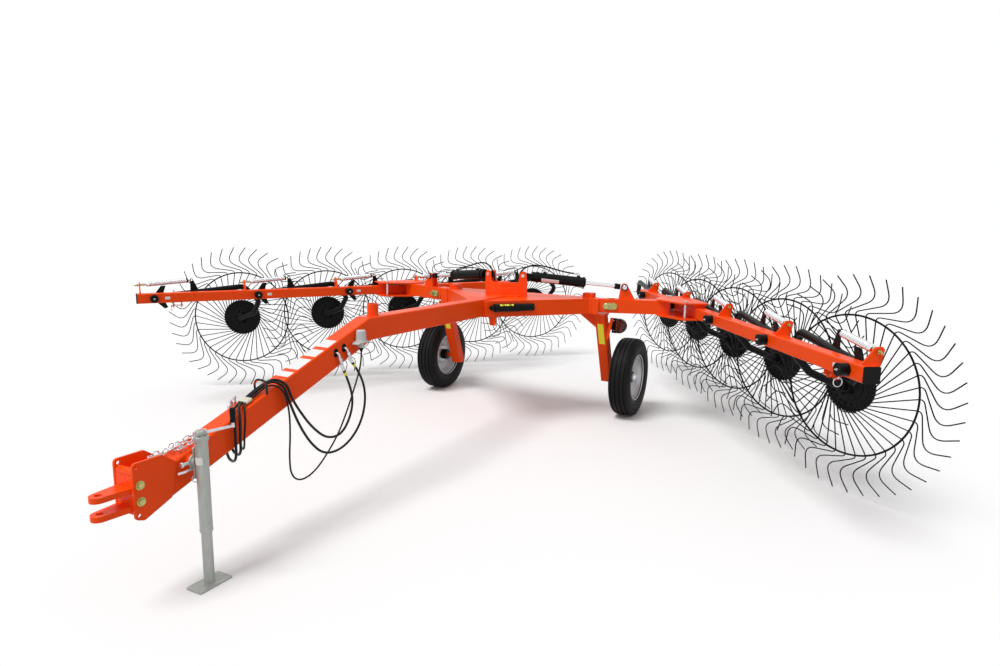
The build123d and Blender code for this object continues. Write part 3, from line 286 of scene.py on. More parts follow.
chrome = surface("chrome", (0.78, 0.79, 0.82), 0.12, metallic=1.0, vary=0.03, rough_vary=0.03, bump_scale=200,
                 bump_depth=0.00002)
tyre_rubber = surface("tyre_rubber", (0.0065, 0.0065, 0.007), 0.6, vary=0.35, vary_scale=9, bump_scale=240,
                      bump_depth=0.0004, specular=0.15)
black_plastic = surface("black_plastic", (0.005, 0.005, 0.005), 0.5, vary=0.2, bump_scale=400,
                        bump_depth=0.0001, specular=0.12, edge=0.0015)
grey_plastic = surface("grey_plastic", (0.56, 0.58, 0.58), 0.45, vary=0.06, bump_scale=350, bump_depth=0.0001,
                       edge=0.0015)
hose_rubber = surface("hose_rubber", (0.006, 0.006, 0.006), 0.38, vary=0.25, vary_scale=40, bump_scale=500,
                      bump_depth=0.0001, specular=0.20)
white_film = surface("white_film", (0.80, 0.80, 0.79), 0.38, vary=0.05, vary_scale=25, bump_scale=500,
                     bump_depth=0.00003, coat=0.2)
yellow_film = surface("yellow_film", (1.0, 0.86, 0.003), 0.35, vary=0.06, vary_scale=60, bump_scale=900,
                      bump_depth=0.00008, coat=0.4)
cream_tape = surface("cream_tape", (0.66, 0.64, 0.50), 0.6, vary=0.15, vary_scale=60, bump_scale=260,
                     bump_depth=0.0008)
lamp_red = surface("lamp_red", (0.030, 0.002, 0.0015), 0.16, vary=0.25, vary_scale=50, rough_vary=0.04,
                   bump_scale=260, bump_depth=0.0004, coat=0.3, specular=0.3)
lamp_amber = surface("lamp_amber", (0.36, 0.045, 0.008), 0.2, vary=0.3, vary_scale=90, rough_vary=0.05,
                     bump_scale=400, bump_depth=0.0002, coat=0.2)
# Black for the hose hoop and the slots' rims, and painted shade for the insides of the hose slots
hoop_black_and_slot_shade = surface("hoop_black_and_slot_shade", (0.004, 0.004, 0.004), 0.8, vary=0.2, bump_scale=300, bump_depth=0.0002)

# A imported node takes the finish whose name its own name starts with
node_finish = {
    "tongue": orange_paint, "hitch_plates": orange_paint, "hitch_clevis": orange_paint,
    "jack_stub": orange_paint, "jack_tube": galvanized, "jack_leg": galvanized, "jack_crank": zinc,
    "crank_grip": black_plastic, "main_frame": orange_paint, "leg": orange_paint, "tyre": tyre_rubber,
    "rim": rim_silver, "fold_arm": orange_paint, "fold_pin": yellow_zinc, "beam_pins": zinc,
    "rod_ears": orange_paint, "rod_pin": zinc, "cylinder_bracket": orange_paint,
    "cylinder_barrel": black_paint, "cylinder_rod": chrome, "cylinder_base_pins": zinc,
    "rake_beam": orange_paint, "beam_caps": black_plastic, "pivot_pins": black_paint,
    "wheel_arms": black_paint, "springs": zinc, "rake_wheel": disc_black, "hose": hose_rubber,
    "hose_fittings": zinc, "light_cable": hose_rubber, "parking_socket": grey_plastic,
    "light_plug": grey_plastic,
    "document_tube": black_plastic, "lamp_bases": black_plastic, "tail_lamps": lamp_red,
}


def paint_nodes():
    """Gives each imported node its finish."""
    for name, node in nodes.items():
        stem = max((stem for stem in node_finish if name == stem or name.startswith(stem + "_")), key=len)
        for slot in node.material_slots:
            slot.material = node_finish[stem]


# Mesh helpers

class Shape:
    """Vertices and faces that are collected for one piece."""

    def __init__(self):
        self.verts = []
        self.faces = []

    def add(self, verts, faces):
        """Adds points and the faces that use them."""
        start = len(self.verts)
        self.verts.extend(Vector(v) for v in verts)
        self.faces.extend(tuple(start + i for i in face) for face in faces)

    def build(self, name, material, body="frame", smooth=35):
        """Makes the mesh object with its finish, and lets it ride on its body."""
        mesh = bpy.data.meshes.new(name)
        mesh.from_pydata(self.verts, [], self.faces)
        work = bmesh.new()
        work.from_mesh(mesh)
        bmesh.ops.recalc_face_normals(work, faces=work.faces)
        work.to_mesh(mesh)
        work.free()
        mesh.materials.append(material)
        mesh.shade_smooth()
        mesh.set_sharp_from_angle(angle=math.radians(smooth))
        piece = bpy.data.objects.new(name, mesh)
        bpy.context.scene.collection.objects.link(piece)
        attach(piece, body)
        return piece


def rounded(corners, steps=5):
    """Points along a route whose corners, given as (point, radius), are rounded by short curves."""
    points = [Vector(corners[0][0])]
    for i in range(1, len(corners) - 1):
        before, here, after = (Vector(corners[j][0]) for j in (i - 1, i, i + 1))
        into = (here - before).normalized()
        out = (after - here).normalized()
        turn = into.angle(out)
        room = min((here - before).length, (after - here).length) * 0.49
        cut = min(corners[i][1] * math.tan(turn / 2), room)
        first = here - into * cut
        last = here + out * cut
        for step in range(steps + 1):
            t = step / steps
            points.append(first * (1 - t) ** 2 + here * 2 * t * (1 - t) + last * t * t)
    points.append(Vector(corners[-1][0]))
    return points


def square_to(axis):
    """The axis at unit length, and two directions square to it and to each other."""
    axis = Vector(axis).normalized()
    side = axis.orthogonal().normalized()
    return axis, side, axis.cross(side)


def circle(middle, side, other, radius, count):
    """Points of a circle round middle, from side towards other."""
    points = []
    for k in range(count):
        angle = 2 * math.pi * k / count
        points.append(middle + side * (radius * math.cos(angle)) + other * (radius * math.sin(angle)))
    return points


def add_loft(shape, rings):
    """Joins closed rings that have as many points, and closes the first and the last."""
    count = len(rings[0])
    faces = [tuple(range(count)), tuple((len(rings) - 1) * count + k for k in range(count))]
    for start in range(0, (len(rings) - 1) * count, count):
        faces += [(start + k, start + (k + 1) % count, start + count + (k + 1) % count, start + count + k)
                  for k in range(count)]
    shape.add([point for ring in rings for point in ring], faces)


def add_tube(shape, points, radius, sides=8, closed=False):
    """Sweeps a round section along points, with capped ends unless it is closed."""
    points = [Vector(p) for p in points]
    count = len(points)
    verts, faces = [], []
    side = None
    for i, point in enumerate(points):
        if closed:
            tangent = points[(i + 1) % count] - points[i - 1]
        else:
            tangent = points[min(i + 1, count - 1)] - points[max(i - 1, 0)]
        tangent.normalize()
        if side is None:
            side = tangent.orthogonal().normalized()
        side = (side - tangent * side.dot(tangent)).normalized()
        verts += circle(point, side, tangent.cross(side), radius, sides)
    for i in range(count if closed else count - 1):
        for k in range(sides):
            here = (i * sides + k, i * sides + (k + 1) % sides)
            after = (i + 1) % count * sides
            faces.append((*here, after + (k + 1) % sides, after + k))
    if not closed:
        faces.append(tuple(range(sides)))
        faces.append(tuple((count - 1) * sides + k for k in range(sides)))
    shape.add(verts, faces)


def add_lathe(shape, centre, axis, profile, segments=48, closed=False):
    """Turns a profile of (along the axis, radius) about an axis. Points at radius 0 become one vertex."""
    axis, side, other = square_to(axis)
    verts, faces, rings = [], [], []
    for along, radius in profile:
        middle = Vector(centre) + axis * along
        if radius == 0:
            rings.append([len(verts)] * segments)
            verts.append(middle)
        else:
            rings.append([len(verts) + k for k in range(segments)])
            verts += circle(middle, side, other, radius, segments)
    spans = len(rings) if closed else len(rings) - 1
    for i in range(spans):
        low, high = rings[i], rings[(i + 1) % len(rings)]
        for k in range(segments):
            corners = (low[k], low[(k + 1) % segments], high[(k + 1) % segments], high[k])
            face = tuple(dict.fromkeys(corners))
            if len(face) > 2:
                faces.append(face)
    shape.add(verts, faces)


def add_prism(shape, centre, axis, radius, height, sides=6, taper=0.001):
    """A prism that stands on a surface at centre along axis, its top edge drawn in by the taper."""
    axis, side, other = square_to(axis)
    levels = ((0, radius), (height - taper, radius), (height, radius - taper))
    add_loft(shape, [circle(Vector(centre) + axis * along, side, other, size, sides)
                     for along, size in levels])


def add_bolt(shape, centre, axis, head):
    """A hexagon head on a washer, the head's size being across its corners."""
    washer = head * 0.14
    add_prism(shape, centre, axis, head * 0.68, washer, sides=20, taper=head * 0.03)
    add_prism(shape, Vector(centre) + Vector(axis).normalized() * washer, axis, head * 0.5, head * 0.36,
              taper=head * 0.06)


def add_box(shape, centre, x_axis, y_axis, z_axis, size, bevel):
    """A box on three axes, its edges along the third axis cut by the bevel."""
    hx, hy, hz = (v / 2 for v in size)
    outline = [(-hx + bevel, -hy), (hx - bevel, -hy), (hx, -hy + bevel), (hx, hy - bevel), (hx - bevel, hy),
               (-hx + bevel, hy), (-hx, hy - bevel), (-hx, -hy + bevel)]
    add_loft(shape, [[Vector(centre) + x_axis * x + y_axis * y + z_axis * level for x, y in outline]
                     for level in (-hz, hz)])


def add_sleeve(shape, centre, axis, start, end, inner, outer, segments=48):
    """A short tube round an axis, from start to end along it."""
    edge = min(0.001, (end - start) / 4)
    profile = ((start, inner), (start, outer - edge), (start + edge, outer), (end - edge, outer),
               (end, outer - edge), (end, inner))
    add_lathe(shape, centre, axis, profile, segments, closed=True)


# A bent label reaches this far in and out from its cylinder
FILM_HALF = 0.0006
WRAP_STEPS = 14


def add_wrap(shape, centre, axis, up, radius, span, turn):
    """A label bent round a cylinder: span is its reach along the axis, turn its angles from up in degrees."""
    axis = Vector(axis).normalized()
    up = (Vector(up) - axis * Vector(up).dot(axis)).normalized()
    side = axis.cross(up)
    verts, faces = [], []
    for k in range(WRAP_STEPS + 1):
        angle = math.radians(turn[0] + (turn[1] - turn[0]) * k / WRAP_STEPS)
        away = up * math.cos(angle) + side * math.sin(angle)
        for along in span:
            for reach in (radius - FILM_HALF, radius + FILM_HALF):
                verts.append(Vector(centre) + axis * along + away * reach)
    last = 4 * WRAP_STEPS
    for a in range(0, last, 4):
        faces += [(a + 1, a + 3, a + 7, a + 5), (a, a + 4, a + 6, a + 2), (a, a + 1, a + 5, a + 4),
                  (a + 2, a + 6, a + 7, a + 3)]
    faces += [(0, 2, 3, 1), (last, last + 1, last + 3, last + 2)]
    shape.add(verts, faces)


def add_weld(shape, points, radius, closed=False):
    """A weld bead along points: short barrels of uneven size, laid like ripples."""
    points = [Vector(p) for p in points]
    if closed:
        points.append(points[0])
    count = 0
    for here, there in zip(points, points[1:]):
        length = (there - here).length
        pieces = max(1, round(length / (3 * radius * 0.85)))
        half = length / pieces * 0.62
        for k in range(pieces):
            size = radius * (0.92 + 0.16 * ((count * 7) % 5) / 4)
            barrel = ((-half, 0), (-half * 0.6, size * 0.8), (0, size), (half * 0.6, size * 0.8), (half, 0))
            add_lathe(shape, here.lerp(there, (k + 0.5) / pieces), there - here, barrel, segments=8)
            count += 1


def add_link(shape, centre, along, flat, length, width, wire):
    """A chain link: flat is the direction square to its opening."""
    along = Vector(along).normalized()
    flat = (Vector(flat) - along * Vector(flat).dot(along)).normalized()
    side = along.cross(flat)
    reach = length / 2 - width / 2
    points = []
    for end in (1, -1):
        for k in range(9):
            angle = math.pi * (k / 8 - 0.5)
            points.append(Vector(centre) + along * (end * (reach + math.cos(angle) * (width - wire) / 2))
                          + side * (end * math.sin(angle) * (width - wire) / 2))
    add_tube(shape, points, wire / 2, closed=True)


# Places along a wing

def wing_axes(sign):
    """Unit directions inwards along the beam and backwards from the hub line."""
    along = Vector((-sign * math.sin(BEAM_TURN), math.cos(BEAM_TURN), 0))
    behind = Vector((sign * math.cos(BEAM_TURN), math.sin(BEAM_TURN), 0))
    return along, behind


def wing_spot(sign, along, behind, height):
    """A point of a wing, measured from the outermost hub along the beam and backwards."""
    inwards, backwards = wing_axes(sign)
    return Vector((sign * HUB_X, HUB_Y, height)) + inwards * along + backwards * behind


def wheel_axes(sign, station):
    """A rake wheel's hub, its direction in the wheel's plane and the one away from the beam."""
    hub = wing_spot(sign, station * STATION, 0, HUB_Z)
    in_plane = Vector((-sign * math.sin(WHEEL_TURN), math.cos(WHEEL_TURN), 0))
    behind = Vector((sign * math.cos(WHEEL_TURN), math.sin(WHEEL_TURN), 0))
    return hub, in_plane, behind


# Rake wheels. A profile here and below holds (along the axis, radius).
TINES = 40
TINE_R = 0.0040
TINE_CORNERS = (((0.123, 0.075, 0), 0), ((0.123, 0.449, 0), 0.032), ((0.362, 0.442, 0), 0.085),
                ((0.362, 0.597, 0), 0))
RING_R = 0.446
RING_WIRE_R = 0.0065
RING_AHEAD = TINE_R + RING_WIRE_R
RING_STEPS = 120
DISC_R = 0.172
DISC_HALF = 0.0085
DISC_PROFILE = (
    (-DISC_HALF, 0), (-DISC_HALF, DISC_R - 0.006), (-0.0055, DISC_R), (0.0055, DISC_R),
    (DISC_HALF, DISC_R - 0.006), (DISC_HALF, 0.060), (0.024, 0.052), (0.029, 0.044), (0.029, 0))
BOSS_PROFILE = (
    (0, 0.100), (0.007, 0.097), (0.009, 0.088), (0.009, 0.058), (0.022, 0.050), (0.034, 0.044),
    (0.050, 0.041), (0.053, 0.037), (0.053, 0.014))
BOSS_FLANGE = 0.0175
CLIP_R = 0.161
CLIP_AHEAD = 0.009
CLIP_SIZE = (0.024, 0.015, 0.011)
CLIP_BOLT_R = 0.128
CLIP_BOLT_HEAD = 0.017
HUB_BOLTS = 6
HUB_BOLT_R = 0.074
HUB_BOLT_HEAD = 0.019


def tine_points():
    """One tine in the wheel's plane as (sideways, outwards): straight to the ring, then two bends."""
    return [(p.x, p.y) for p in rounded(TINE_CORNERS, steps=6)]


def make_rake_wheel(side, sign, station):
    """Tines, ring, disc, clips and hub of one rake wheel."""
    hub, in_plane, behind = wheel_axes(sign, station)
    label = f"{station + 1}_{side}"
    body = f"rake_wheel_{label}"

    def spot(x, y, angle, back):
        """A point of the wheel's plane, turned about the hub."""
        across = x * math.cos(angle) - y * math.sin(angle)
        down = x * math.sin(angle) + y * math.cos(angle)
        return hub + in_plane * across + DOWN * down + behind * back

    def radial(angle):
        """The direction away from the hub."""
        return in_plane * math.cos(angle) + DOWN * math.sin(angle)

    wires = Shape()
    route = tine_points()
    for tine in range(TINES):
        angle = 2 * math.pi * tine / TINES
        add_tube(wires, [spot(x, y, angle, 0) for x, y in route], TINE_R, sides=6)
    ring = [spot(RING_R, 0, 2 * math.pi * k / RING_STEPS, -RING_AHEAD) for k in range(RING_STEPS)]
    add_tube(wires, ring, RING_WIRE_R, closed=True)
    wires.build(f"wheel_wires_{label}", tine_steel, body, smooth=60)

    disc = Shape()
    add_lathe(disc, hub, behind, DISC_PROFILE, segments=80)
    add_lathe(disc, hub - behind * DISC_HALF, -behind, BOSS_PROFILE)
    for clip in range(TINES):
        angle = 2 * math.pi * clip / TINES
        cross = DOWN * math.cos(angle) - in_plane * math.sin(angle)
        centre = hub + radial(angle) * CLIP_R - behind * CLIP_AHEAD
        add_box(disc, centre, radial(angle), cross, behind, CLIP_SIZE, 0.003)
    disc_piece = disc.build(f"wheel_disc_{label}", disc_black, body)

    bolts = Shape()
    for bolt in range(TINES // 2):
        away = radial(2 * math.pi * (bolt + 0.5) / (TINES // 2))
        add_bolt(bolts, hub + away * CLIP_BOLT_R - behind * DISC_HALF, -behind, CLIP_BOLT_HEAD)
    for bolt in range(HUB_BOLTS):
        away = radial(2 * math.pi * bolt / HUB_BOLTS)
        add_bolt(bolts, hub + away * HUB_BOLT_R - behind * BOSS_FLANGE, -behind, HUB_BOLT_HEAD)
        add_bolt(bolts, hub + away * HUB_BOLT_R + behind * DISC_HALF, behind, HUB_BOLT_HEAD)
    bolts.build(f"wheel_bolts_{label}", black_paint, body)
    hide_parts(body)


# Ground wheels
SIDEWALL = (
    (-0.063, 0.191), (-0.075, 0.201), (-0.085, 0.222), (-0.0915, 0.250), (-0.0922, 0.275), (-0.0895, 0.300),
    (-0.0865, 0.305), (-0.0860, 0.318), (-0.079, 0.333), (-0.070, 0.339))
BEAD_SEAT = ((0.060, 0.189), (-0.060, 0.189))
TREAD_CROWN = 0.6
GROOVES = (-0.056, -0.019, 0.019, 0.056)
GROOVE_HALF = 0.0048
GROOVE_DEPTH = 0.009
RIM_PROFILE = (
    (-0.075, 0.205), (-0.077, 0.203), (-0.075, 0.200), (-0.064, 0.196), (-0.062, 0.186), (-0.040, 0.182),
    (0.016, 0.172), (0.018, 0.150), (0.019, 0.112), (0.017, 0.092), (-0.004, 0.078), (-0.006, 0.052),
    (-0.010, 0.052), (-0.010, 0.079), (0.012, 0.095), (0.023, 0.113), (0.024, 0.150), (0.028, 0.172),
    (0.040, 0.180), (0.062, 0.184), (0.064, 0.195), (0.075, 0.198), (0.077, 0.203), (0.075, 0.205),
    (0.066, 0.199), (0.058, 0.1895), (-0.058, 0.1895), (-0.066, 0.199))
HUB_PROFILE = (
    (-0.070, 0.0202), (-0.070, 0.046), (-0.062, 0.051), (-0.012, 0.052), (0.028, 0.050), (0.036, 0.046),
    (0.038, 0.033), (0.030, 0.0202))
CAP_PROFILE = ((0.036, 0), (0.036, 0.033), (0.052, 0.032), (0.060, 0.028), (0.066, 0.018), (0.068, 0))
STUDS = 5
STUD_R = 0.065
STUD_OUT = -0.004
STUD_HEAD = 0.024


def tyre_profile():
    """Section of the tyre as (across, radius): a ribbed tread between rounded shoulders."""
    points = list(SIDEWALL)
    for groove in GROOVES:
        crown = TYRE_R - TREAD_CROWN * groove * groove
        bottom = crown - GROOVE_DEPTH
        points += [(groove - GROOVE_HALF - 0.0008, crown), (groove - GROOVE_HALF + 0.001, bottom),
                   (groove + GROOVE_HALF - 0.001, bottom), (groove + GROOVE_HALF + 0.0008, crown)]
    points += [(-x, r) for x, r in reversed(SIDEWALL)]
    return points + list(BEAD_SEAT)


def make_ground_wheel(side, sign):
    """Ribbed tyre, dished rim and hub with its cap."""
    centre = Vector((sign * TRACK, AXLE_Y, TYRE_R))
    outwards = Vector((sign, 0, 0))
    body = f"ground_wheel_{side}"
    tyre = Shape()
    add_lathe(tyre, centre, outwards, tyre_profile(), segments=128, closed=True)
    tyre_piece = tyre.build(f"tyre_tread_{side}", tyre_rubber, body, smooth=40)
    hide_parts(f"tyre_{side}")

    rim = Shape()
    add_lathe(rim, centre, outwards, RIM_PROFILE, segments=96, closed=True)
    rim.build(f"rim_dish_{side}", rim_silver, body, smooth=50)

    hub = Shape()
    add_lathe(hub, centre, outwards, HUB_PROFILE, segments=40, closed=True)
    for stud in range(STUDS):
        angle = 2 * math.pi * stud / STUDS
        radial = Vector((0, math.cos(angle), math.sin(angle)))
        add_bolt(hub, centre + radial * STUD_R + outwards * STUD_OUT, outwards, STUD_HEAD)
    hub_piece = hub.build(f"wheel_hub_{side}", black_paint, body)
    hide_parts(f"rim_{side}")

    cap = Shape()
    add_lathe(cap, centre, outwards, CAP_PROFILE, segments=36)
    cap.build(f"hub_cap_{side}", chrome, body)


# Springs between the beam's brackets and the arms' ears
BRACKET_S = -0.905
EYEBOLT_B = -0.470
EYEBOLT_Z = 1.098
EAR_S = -0.484
EAR_B = BEAM_BACK + 0.032 + 0.055 * (EAR_S - PIVOT_S) / (-0.035 - PIVOT_S)
EAR_Z = 1.125
SPRING_START = 0.058
SPRING_LEN = 0.318
SPRING_R = 0.0225
SPRING_TURNS = 54
TURN_STEPS = 12
WIRE_R = 0.0028
NEAR_BELL = ((-0.010, 0), (-0.010, 0.011), (-0.004, 0.0215), (0.020, 0.0228), (0.020, 0))
FAR_BELL = ((-0.014, 0), (-0.014, 0.0195), (0.004, 0.0215), (0.012, 0.012), (0.012, 0))


def spring_line(sign, station):
    """Where a spring's eyebolt and its ear are, and the direction from one to the other."""
    start = station * STATION
    anchor = wing_spot(sign, start + BRACKET_S, EYEBOLT_B, EYEBOLT_Z)
    ear = wing_spot(sign, start + EAR_S, EAR_B, EAR_Z)
    return anchor, ear, (ear - anchor).normalized()


def make_springs(side, sign):
    """Closely wound springs with their eyebolts and hooks."""
    coils = Shape()
    bolts = Shape()
    steps = SPRING_TURNS * TURN_STEPS
    radius = SPRING_R - WIRE_R
    for station in range(STATIONS):
        anchor, ear, run = spring_line(sign, station)
        side_way = run.orthogonal().normalized()
        other_way = run.cross(side_way)
        near = anchor + run * SPRING_START
        far = anchor + run * (SPRING_START + SPRING_LEN)
        wire = []
        for k in range(steps + 1):
            angle = 2 * math.pi * k / TURN_STEPS
            wire.append(anchor + run * (SPRING_START + SPRING_LEN * k / steps)
                        + side_way * (radius * math.cos(angle)) + other_way * (radius * math.sin(angle)))
        add_tube(coils, wire, WIRE_R, sides=6)
        add_tube(bolts, [anchor - run * 0.042, anchor + run * (SPRING_START + 0.012)], 0.006, sides=12)
        add_lathe(coils, near, run, NEAR_BELL, segments=24)
        add_lathe(coils, far, run, FAR_BELL, segments=24)
        add_tube(bolts, [far, anchor + run * ((ear - anchor).length - 0.0145)], 0.0055, sides=10)
        for along, size, height in ((0.0075, 0.0105, 0.010), (0.024, 0.0115, 0.016), (-0.022, 0.0105, 0.010)):
            add_prism(bolts, anchor + run * along, run, size, height)
    coil_piece = coils.build(f"spring_coils_{side}", chrome, f"wing_{side}", smooth=70)
    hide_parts(f"springs_{side}")
    bolts.build(f"spring_bolts_{side}", yellow_zinc, f"wing_{side}")


# Hoses and cable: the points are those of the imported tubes
HOSE_OD = 0.014
HOSE_LENGTHS = (1.99, 2.186)
CABLE_OD = 0.010
POINT_SIZE = 0.005
ELBOW_OUT = 0.020
ELBOW_R = 0.0068
FERRULE_PROFILE = (
    (0, 0), (0, 0.0095), (0.003, 0.0108), (0.009, 0.0108), (0.010, 0.0100), (0.012, 0.0108), (0.018, 0.0108),
    (0.019, 0.0100), (0.021, 0.0108), (0.030, 0.0108), (0.034, 0.0095), (0.034, 0))
COUPLER_PROFILE = (
    (-0.026, 0.0071), (-0.026, 0.0105), (-0.002, 0.0110), (0.000, 0.0130), (0.016, 0.0130), (0.017, 0.0118),
    (0.020, 0.0118), (0.021, 0.0130), (0.046, 0.0130), (0.048, 0.0115), (0.049, 0.0090), (0.056, 0.0090),
    (0.057, 0.0078), (0.059, 0.0078), (0.060, 0.0090), (0.070, 0.0086), (0.074, 0.0060), (0.074, 0))
GLAND_PROFILE = ((-0.004, 0), (-0.004, 0.0105), (0.006, 0.0105), (0.008, 0.0085), (0.026, 0.0062), (0.026, 0))
HOSE_1 = (
    (0.078, -1.800, 0.815), (0.084, -1.765, 0.740), (0.094, -1.740, 0.630), (0.100, -1.775, 0.530),
    (0.104, -1.860, 0.445), (0.104, -1.985, 0.455), (0.102, -2.100, 0.555), (0.098, -2.185, 0.670),
    (0.092, -2.232, 0.752), (0.082, -2.252, 0.832), (0.030, -2.298, 0.862), (-0.014, -2.362, 0.818),
    (-0.014, -2.440, 0.782), (-0.002, -2.515, 0.758), (0.040, -2.570, 0.752), (0.086, -2.598, 0.700),
    (0.088, -2.600, 0.610), (0.078, -2.592, 0.530), (0.030, -2.570, 0.488), (-0.042, -2.545, 0.492),
    (-0.084, -2.520, 0.555), (-0.084, -2.500, 0.635), (-0.082, -2.490, 0.700),
)
HOSE_2 = (
    (0.078, -1.725, 0.850), (0.092, -1.670, 0.775), (0.104, -1.635, 0.650), (0.110, -1.665, 0.520),
    (0.114, -1.755, 0.415), (0.114, -1.885, 0.360), (0.112, -2.020, 0.375), (0.107, -2.115, 0.465),
    (0.100, -2.185, 0.580), (0.094, -2.232, 0.690), (0.090, -2.256, 0.765), (0.084, -2.276, 0.828),
    (0.038, -2.320, 0.856), (0.006, -2.380, 0.812), (0.004, -2.450, 0.780), (0.016, -2.505, 0.767),
    (0.056, -2.545, 0.765), (0.088, -2.568, 0.700), (0.088, -2.572, 0.615), (0.078, -2.563, 0.550),
    (0.032, -2.540, 0.514), (-0.042, -2.515, 0.518), (-0.084, -2.490, 0.578), (-0.084, -2.470, 0.655),
    (-0.082, -2.462, 0.715),
)
LIGHT_CABLE = (
    (-0.080, -2.410, 0.720), (-0.080, -2.410, 0.655), (-0.074, -2.435, 0.585), (-0.034, -2.470, 0.538),
    (0.032, -2.512, 0.536), (0.076, -2.540, 0.562), (0.084, -2.543, 0.625), (0.088, -2.536, 0.700),
    (0.068, -2.520, 0.758), (0.034, -2.498, 0.766), (0.023, -2.458, 0.773), (0.024, -2.396, 0.800),
    (0.046, -2.338, 0.842), (0.090, -2.294, 0.816), (0.095, -2.266, 0.745), (0.092, -2.248, 0.655),
    (0.086, -2.244, 0.540), (0.080, -2.250, 0.425), (0.074, -2.238, 0.315), (0.068, -2.165, 0.255),
    (0.062, -2.045, 0.268), (0.058, -1.925, 0.350), (0.056, -1.830, 0.440), (0.056, -1.762, 0.540),
    (0.058, -1.705, 0.645), (0.068, -1.665, 0.745), (0.088, -1.650, 0.845), (0.088, -1.650, 0.915),
)


def make_cord(name, route, diameter, body="frame"):
    """A round cord on a smooth curve whose control points are the route."""
    data = bpy.data.curves.new(name, "CURVE")
    data.dimensions = "3D"
    data.bevel_depth = diameter / 2 / POINT_SIZE
    data.bevel_resolution = 4
    data.resolution_u = 8
    data.use_fill_caps = True
    spline = data.splines.new("NURBS")
    spline.points.add(len(route) - 1)
    for point, place in zip(spline.points, route):
        point.co = (*place, 1)
        point.radius = POINT_SIZE
    spline.order_u = 3
    spline.use_endpoint_u = True
    data.materials.append(hose_rubber)
    piece = bpy.data.objects.new(name, data)
    bpy.context.scene.collection.objects.link(piece)
    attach(piece, body)
    return piece


def line_points(cord):
    """Points along a cord's own smooth line."""
    depth = cord.data.bevel_depth
    cord.data.bevel_depth = 0
    mesh = bpy.data.meshes.new_from_object(cord)
    points = [v.co.copy() for v in mesh.vertices]
    cord.data.bevel_depth = depth
    bpy.data.meshes.remove(mesh)
    return points


def stretch_of(points, start, end):
    """The part of a line between two distances along it."""
    found, run = [], 0.0
    for here, there in zip(points, points[1:]):
        length = (there - here).length
        for mark in (start, end):
            if run <= mark < run + length:
                found.append(here.lerp(there, (mark - run) / length))
        if start < run + length < end:
            found.append(there.copy())
        run += length
    return found


def add_hose_elbow(shape, exit_y, exit_z, start, out):
    """The elbow from the tongue's slot to the hose, with its nuts and the ferrule."""
    slot = Vector((TONGUE_HALF - ELBOW_OUT, exit_y, exit_z))
    elbow = Vector((TONGUE_HALF + ELBOW_OUT, exit_y, exit_z))
    down = (start - elbow).normalized()
    nut = (start - elbow).length * 0.30
    add_tube(shape, rounded([(slot, 0), (elbow, 0.016), (start, 0)], steps=6), ELBOW_R, sides=14)
    add_prism(shape, elbow + down * nut, down, 0.0125, 0.015, taper=0.0012)
    add_prism(shape, elbow + down * (nut + 0.0165), down, 0.0112, 0.012, taper=0.0012)
    add_prism(shape, start - out * 0.048, out, 0.0125, 0.014, taper=0.0012)
    add_lathe(shape, start - out * 0.034, out, FERRULE_PROFILE, segments=28)


def make_hoses():
    """Two hydraulic hoses with their elbows, collars, bands and couplers."""
    elbows = Shape()
    bands = Shape()
    collars = Shape()
    hoses = []
    for number, (exit_y, exit_z), route in zip((1, 2), HOSE_EXITS, (HOSE_1, HOSE_2)):
        cord = make_cord(f"hose_line_{number}", route, HOSE_OD)
        points = line_points(cord)
        start = Vector(route[0])
        end = Vector(route[-1])
        add_hose_elbow(elbows, exit_y, exit_z, start, (points[1] - start).normalized())
        add_tube(collars, stretch_of(points, 0.002, 0.014), 0.0090, sides=16)
        add_tube(bands, stretch_of(points, 0.014, 0.036), 0.0084, sides=16)
        coupler = Shape()
        add_lathe(coupler, end, (end - points[-2]).normalized(), COUPLER_PROFILE, segments=28)
        hoses.append((cord, route, coupler.build(f"coupler_of_hose_line_{number}", zinc)))
    elbow_piece = elbows.build("hose_elbows", zinc)
    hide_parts("hose_fittings")
    bands.build("hose_bands", yellow_film, smooth=60)
    collars.build("hose_collars", black_plastic, smooth=60)
    for number, length, (cord, route, coupler_piece) in zip((1, 2), HOSE_LENGTHS, hoses):
        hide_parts(f"hose_{number}")


def make_light_cable():
    """The light cable, and the gland where it leaves the tongue."""
    cable = make_cord("light_lead", LIGHT_CABLE, CABLE_OD)
    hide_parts("light_cable")
    gland = Shape()
    add_lathe(gland, LIGHT_CABLE[0], DOWN, GLAND_PROFILE, segments=24)
    gland.build("cable_gland", black_plastic)


# Hoop and tape round the hoses, and the slots that they come out of
SLOT_STEPS = 12
SLOT_END_R = 0.0165
SLOT_HALF = 0.008
SLOT_DEPTH = 0.020
TAPE_CENTRE = Vector((0.006, -2.462, 0.7765))
TAPE_WIDE = 0.0335
TAPE_HIGH = 0.0105
TAPE_STEPS = 40
# Each ring of the tape as (along the tongue, size)
TAPE_RINGS = ((-0.020, 0.92), (-0.0185, 1.0), (-0.006, 0.97), (0.006, 1.02), (0.0185, 1.0), (0.020, 0.92))


